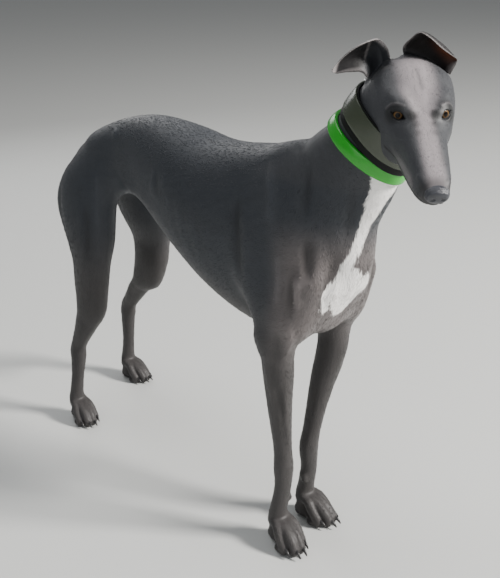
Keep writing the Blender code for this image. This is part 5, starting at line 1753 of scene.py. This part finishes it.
def eyeball(name, head, s):
    """A ball with a clear bulge over its iris."""
    centre, gaze, *_ = eye_frame(head, s)
    obj = ball(name, centre, EYE_RADIUS, 5)
    points = points_of(obj.data)
    off = unit(points - centre)
    bulge = 0.0007 * smooth(0.80, 0.92, off @ gaze)
    put(obj, points + off * bulge[:, None])
    return obj, centre, gaze


def scene_band(name, collar, form, sides, ease, thick, grow, crown, below=0.0):
    """A collar's band as a fine crowned strap that follows the neck."""
    axis, rays, low, high = band_rings(collar, form, sides)
    low, high = filled(low, 8) - COLLAR_EASE + ease, filled(high, 8) - COLLAR_EASE + ease
    width = collar["width"] + 2 * grow
    soft = min(0.0012, 0.4 * thick)
    profile = []
    for k in range(9):
        t = k / 8
        along = -0.5 * width + soft + t * (width - 2 * soft)
        profile.append((along, thick + crown * math.sin(math.pi * t)))
    profile = [(-0.5 * width, 0.35 * thick), (-0.5 * width + 0.3 * soft, thick - 0.3 * soft)] + profile
    profile += [(0.5 * width - 0.3 * soft, thick - 0.3 * soft), (0.5 * width, 0.35 * thick)]
    profile += [(0.5 * width - 0.5 * soft, 0.0), (-0.5 * width + 0.5 * soft, 0.0)]
    corners = []
    for ray, a, b in zip(rays, low, high):
        for along, out in profile:
            if along < 0:
                along -= below * min(1.0, -2 * along / width)
            t = along / collar["width"] + 0.5
            corners.append(np.array(collar["at"]) + along * axis + (a + (b - a) * t + out) * ray)
    return outward(new_object(name, corners, ring_faces(sides, len(profile), closed=True)))


def under_bands(points):
    """True where a point of the neck lies under a collar."""
    found = np.zeros(len(points), bool)
    for collar, below in ((WIDE_COLLAR, DARK_BAND_BELOW), (SLIM_COLLAR, 0.0)):
        axis = unit(np.array(collar["axis"], float))
        off = points - np.array(collar["at"])
        along = off @ axis
        round_it = np.linalg.norm(off - along[:, None] * axis, axis=1)
        half = collar["width"] / 2 + 0.001
        found |= (along < half) & (along > -half - below) & (round_it < 0.095)
    return found


def light_up():
    """Adds the lamps, all turned to the middle of the dog."""
    for name, (at, energy, size, colour) in LAMPS.items():
        data = bpy.data.lights.new(name, "AREA")
        data.energy = energy
        data.size = size
        data.color = colour
        lamp = linked(name, data)
        lamp.location = at
        ahead = Vector(LIT_MIDDLE) - Vector(at)
        lamp.rotation_euler = ahead.to_track_quat("-Z", "Y").to_euler()


def add_sky():
    """A pale world, a little lighter above than at its horizon."""
    world = bpy.data.worlds.new("Studio")
    world.use_nodes = True
    sky = world.node_tree
    way = node(sky, "ShaderNodeTexCoord")
    parts = node(sky, "ShaderNodeSeparateXYZ")
    ramp = node(sky, "ShaderNodeMapRange", interpolation_type="SMOOTHSTEP")
    ramp.inputs["From Max"].default_value = SKY_RISE
    shade = node(sky, "ShaderNodeMix", data_type="RGBA")
    shade.inputs["A"].default_value = (*SKY_LOW, 1)
    shade.inputs["B"].default_value = (*SKY_HIGH, 1)
    sky.links.new(way.outputs["Generated"], parts.inputs["Vector"])
    sky.links.new(parts.outputs["Z"], ramp.inputs["Value"])
    sky.links.new(ramp.outputs["Result"], shade.inputs["Factor"])
    sky.links.new(shade.outputs["Result"], sky.nodes["Background"].inputs["Color"])
    sky.nodes["Background"].inputs["Strength"].default_value = SKY_STRENGTH
    bpy.context.scene.world = world


def add_floor():
    """A plain pale floor."""
    far = FLOOR_HALF
    corners = [(-far, -far, 0), (far, -far, 0), (far, far, 0), (-far, far, 0)]
    floor = new_object("Floor", corners, [(0, 1, 2, 3)])
    floor.data.materials.append(surface("Floor", FLOOR_GREY, Roughness=0.8))


def add_camera():
    """The camera of the photograph, in its place beside the dog."""
    data = bpy.data.cameras.new("Camera")
    data.sensor_width = SENSOR
    data.lens = FOCAL_PIXELS / FRAME_HEIGHT * SENSOR
    data.clip_end = FLOOR_HALF
    camera = linked("Camera", data)
    back = -unit(np.array(CAMERA["ahead"]))
    up = np.array(CAMERA["up"])
    right = unit(np.cross(up, back))
    up = np.cross(back, right)
    place = np.eye(4)
    place[:3, 0], place[:3, 1], place[:3, 2] = right, up, back
    place[:3, 3] = np.array(CAMERA["at"]) + np.array((*SHIFT, 0))
    camera.matrix_world = Matrix(place.tolist())
    bpy.context.scene.camera = camera


def add_ears(skin, head):
    """Joins the ears to the skin, and returns what finds and paints them, and their leaves."""
    ears, trees, sheets = [], [], []
    for s, word in SIDES:
        ear, corners, marks = ear_skin("ear_" + word, head, s)
        ears.append(ear)
        sheets.append(ear_sheet(head, s)[0])
        trees.append((kd_of(corners), marks, s, corners.min(0), corners.max(0)))
    raise_ear_roots(skin, sheets)
    for ear in ears:
        united(skin, ear)
    return trees, sheets


def whole_skin(head, masses, lips, folds):
    """The marked skin of the whole dog, and its colours, streaks, ears and nearness to them."""
    skin = grow_skin(head, (masses, (), folds + [Fold(lips, *LIP_GROOVE)]))
    trees, sheets = add_ears(skin, head)
    points = points_of(skin.data)
    inset = field(points, masses) + COAT_DEPTH
    near_ear = ear_tones(points, trees, tone_of(points, head, lips))
    soften(skin, (near_ear > 0.02) & (inset < 0.0045) | ((near_ear > 0) & (inset < 0.002)), 6)
    skin = joined("skin", [skin] + [lid_rim(head, s) for s in (RIGHT, LEFT)])
    points = points_of(skin.data)
    tone = tone_of(points, head, lips)
    near_ear = ear_tones(points, trees, tone)
    # Painted shade in the grooves of the folds, and painted light on their ridges.
    darker, groove = GROOVE_PAINTED_SHADE
    tone = tone * (1 - darker * np.clip(hollows(points, folds) / groove, -0.8, 1.2))[:, None]
    streaks = streak_shares(points, head)
    set_marks(skin.data, tone, white_of(points), streaks)
    return skin, dict(tone=tone, streaks=streaks, near_ear=near_ear, trees=trees, sheets=sheets)


def tuft_roots(skin, head, lips, rng):
    """The tufts' roots from front to back, their normals, and their shares of the skin's corners."""
    eyes = [turned(head, EYE, s) for s in (RIGHT, LEFT)]
    nose_at = turned(head, (NOSE[0], 0, NOSE[1]))

    def density(where):
        on_head = part_weights(where, head)[1]
        chance = 1.0 + 0.5 * on_head + 0.6 * smooth(0.07, 0.05, where[:, 2])
        chance = chance * ~under_bands(where)
        for eye in eyes:
            chance = chance * (np.linalg.norm(where - eye, axis=1) > BARE["eye"])
        chance = chance * (np.linalg.norm(where - nose_at, axis=1) > BARE["nose"])
        chance = chance * (line_distance(where, lips) > BARE["lips"])
        return chance * (where[:, 2] > BARE["floor"])

    where, normal, corner, share = sampled(skin.data, TUFTS, density, rng)
    order = np.argsort(where[:, 1] + 0.3 * where[:, 2])
    return where[order], normal[order], corner[order], share[order]


def dress_skin(head, skin, marks, lips):
    """Gives the skin its fur and lays the tufts on it."""
    rng = np.random.default_rng(SEED)
    where, normal, corner, share = tuft_roots(skin, head, lips, rng)
    way = lie_of(where, head)
    _, on_head, _, _, on_hind, on_tail = part_weights(where, head)
    ear_here = (marks["near_ear"][corner] * share).sum(1)
    low_feet = smooth(0.12, 0.05, where[:, 2])
    long = TUFT_LONG[0] + TUFT_LONG[1] * rng.random(TUFTS)
    long = long * (1 - 0.50 * on_head) * (1 - 0.35 * low_feet) * (1 - 0.35 * ear_here)
    backs = smooth(0.55, 0.95, normal[:, 1]) * (on_hind + on_tail)
    long = long * (1 + 0.45 * np.clip(backs, 0, 1))
    wide = TUFT_WIDE[0] + TUFT_WIDE[1] * rng.random(TUFTS)
    wide = wide * (1 - 0.40 * on_head) * (1 - 0.3 * ear_here)
    lift = TUFT_LIFT[0] + TUFT_LIFT[1] * rng.random(TUFTS)
    lift = lift * (1 - 0.35 * on_head) + 0.08 * np.clip(backs, 0, 1)
    for (_, _, _, low, high), grid in zip(marks["trees"], marks["sheets"]):
        middle = EAR_GRID[1] // 2
        chosen = (ear_here > 0.3) & ((where > low - 0.004) & (where < high + 0.004)).all(1)
        way[chosen] = unit(grid[-1, middle] - grid[0, middle])
    tone = (marks["tone"][corner] * share[..., None]).sum(1) * (0.94 + 0.26 * rng.random(TUFTS))[:, None]
    streaks = (marks["streaks"][corner] * share[..., None]).sum(1)
    uv = atlas_place(where, head)
    white = white_of(where)

    dressed(skin, coat_material("coat_fur", head, 0.00018, 0.30, 0.34), FLESH)
    fur = coat_material("coat_tufts", head, 0.00006, 0.10, 0.34)
    for k in range(PIECES):
        part = slice(k * TUFTS // PIECES, (k + 1) * TUFTS // PIECES)
        sizes = (long[part], wide[part], lift[part])
        painted = (tone[part], white[part], streaks[part])
        name = "coat_%d" % (k + 1)
        coat = tuft_mesh(name, where[part], normal[part], way[part], *sizes, uv[part], painted, rng)
        dressed(coat, fur, smoothly=False)


def dress_eyes(head):
    """The two wet eyes behind the open lids."""
    for s, word in SIDES:
        eye, centre, gaze = eyeball("eyeball_" + word, head, s)
        centre = centre + np.array((*SHIFT, 0))
        dressed(eye, eye_material("eye_" + word, centre, gaze), ["eye_" + word])


def dress_nose(head):
    """The nose leather, with its nostrils and the dent down its middle."""
    leather = surface("nose_leather", NOSE_GREY, Roughness=0.36, Specular_IOR_Level=0.6)
    bumpy(leather, 1500, 0.0004, 0.6, "ShaderNodeTexVoronoi", "Distance")
    nostrils = []
    x, z = NOSE
    for s in (RIGHT, LEFT):
        rows = [
            (x + 0.0175, s * 0.0062, z - 0.0024, 0.0024, 0.0028, 0.0028),
            (x + 0.0095, s * 0.0066, z - 0.0014, 0.0024, 0.0027, 0.0027),
            (x + 0.0045, s * 0.0110, z + 0.0006, 0.0017, 0.0018, 0.0018),
            (x + 0.0000, s * 0.0172, z + 0.0016, 0.0012, 0.0012, 0.0012),
        ]
        nostrils.append(placed(rows, head, (0, 0, 1), blend=0.0012, samples=19))
    middle = [turned(head, (x + 0.0150, 0, z + 0.002)), turned(head, (x + 0.013, 0, z - 0.010))]
    dent = Fold(middle, 0.0011, 0.0010)
    pad = skinned("nose_pad", ([nose_mass(head)], nostrils, [dent]), 0.0006)
    dressed(pad, leather, ["nose"])


def finer(mass):
    """The same mass with more sections."""
    rows = np.hstack([mass.centre, mass.size])
    return Mass([tuple(row) for row in rows], side=mass.across[0], blend=mass.blend, samples=13)


def dress_claws():
    """All claws of the four paws as one piece."""
    horn = surface("claw_horn", HORN_BLACK, Roughness=0.35)
    nails = []
    for s in (RIGHT, LEFT):
        leg = LEGS[s]
        for place in ("fore", "hind"):
            for claw in claws(*leg[place + "_paw"], leg[place + "_out"], PAW_SCALE[place]):
                corners, faces = finer(claw).tube(14)
                nails.append(outward(new_object("claw", corners, faces)))
    dressed(joined("claws", nails), horn)


def dress_collars(plain):
    """The wide olive collar with a near-black band under it and its fittings, and the slim green one."""
    olive = surface("strap_grey", STRAP_OLIVE, Roughness=0.26, Specular_IOR_Level=0.6)
    bumpy(olive, 260, 0.0003, 0.25)
    dark_band = surface("strap_dark_band", DARK_BAND_BLACK, Roughness=0.6, Specular_IOR_Level=0.2)
    bumpy(dark_band, 900, 0.0003, 0.5)
    green = surface("strap_green", STRAP_GREEN, Roughness=0.24, Specular_IOR_Level=0.6)
    bumpy(green, 240, 0.0002, 0.25)
    steel = surface("fitting_metal", STEEL, Roughness=0.22, Metallic=1.0)
    wide = scene_band(
        "strap_wide", WIDE_COLLAR, plain, BAND_STEPS, ease=0.0016, thick=0.0030, grow=-0.0012, crown=0.0006
    )
    dressed(wide, olive, ["collar_wide"])
    # A near-black band under the wide collar, showing below its lower edge.
    under = scene_band(
        "strap_wide_dark_band", WIDE_COLLAR, plain, BAND_STEPS, ease=-0.0004, thick=0.0024, grow=0.0008,
        crown=0.0, below=DARK_BAND_BELOW,
    )
    dressed(under, dark_band)
    slim = scene_band(
        "strap_slim", SLIM_COLLAR, plain, BAND_STEPS, ease=-0.0004, thick=0.0056, grow=0.0, crown=0.0010
    )
    dressed(slim, green, ["collar_green"])
    centre, _, axis, along = fitting_frame(WIDE_COLLAR, plain, BUCKLE_ANGLE, 0.0022)
    buckle = joined("buckle", [
        hoop("BuckleHoop", centre, along, axis, wide=0.024, high=0.040, radius=0.0018, sides=48, bevel=5),
        rod("Pin", (centre - 0.012 * along, centre + 0.012 * along), radius=0.0013, sides=12),
    ])
    dressed(buckle, steel, ["collar_buckle"])
    centre, ray, _, along = fitting_frame(WIDE_COLLAR, plain, RING_ANGLE, 0.0075)
    ring = hoop("ring", centre, along, ray, wide=0.026, high=0.022, radius=0.0016, sides=48, bevel=5)
    dressed(ring, steel, ["collar_ring"])


def build():
    """Makes all pieces of the dog, from its skin to its collars."""
    head = head_frame()
    masses = body_masses(head)
    plain = (masses, (), ())
    lips = mouth_line(head, plain)
    skin, marks = whole_skin(head, masses, lips, scene_folds(plain, head))
    dress_skin(head, skin, marks, lips)
    dress_eyes(head)
    dress_nose(head)
    dress_claws()
    dress_collars(plain)


build()
light_up()
add_sky()
add_floor()
add_camera()
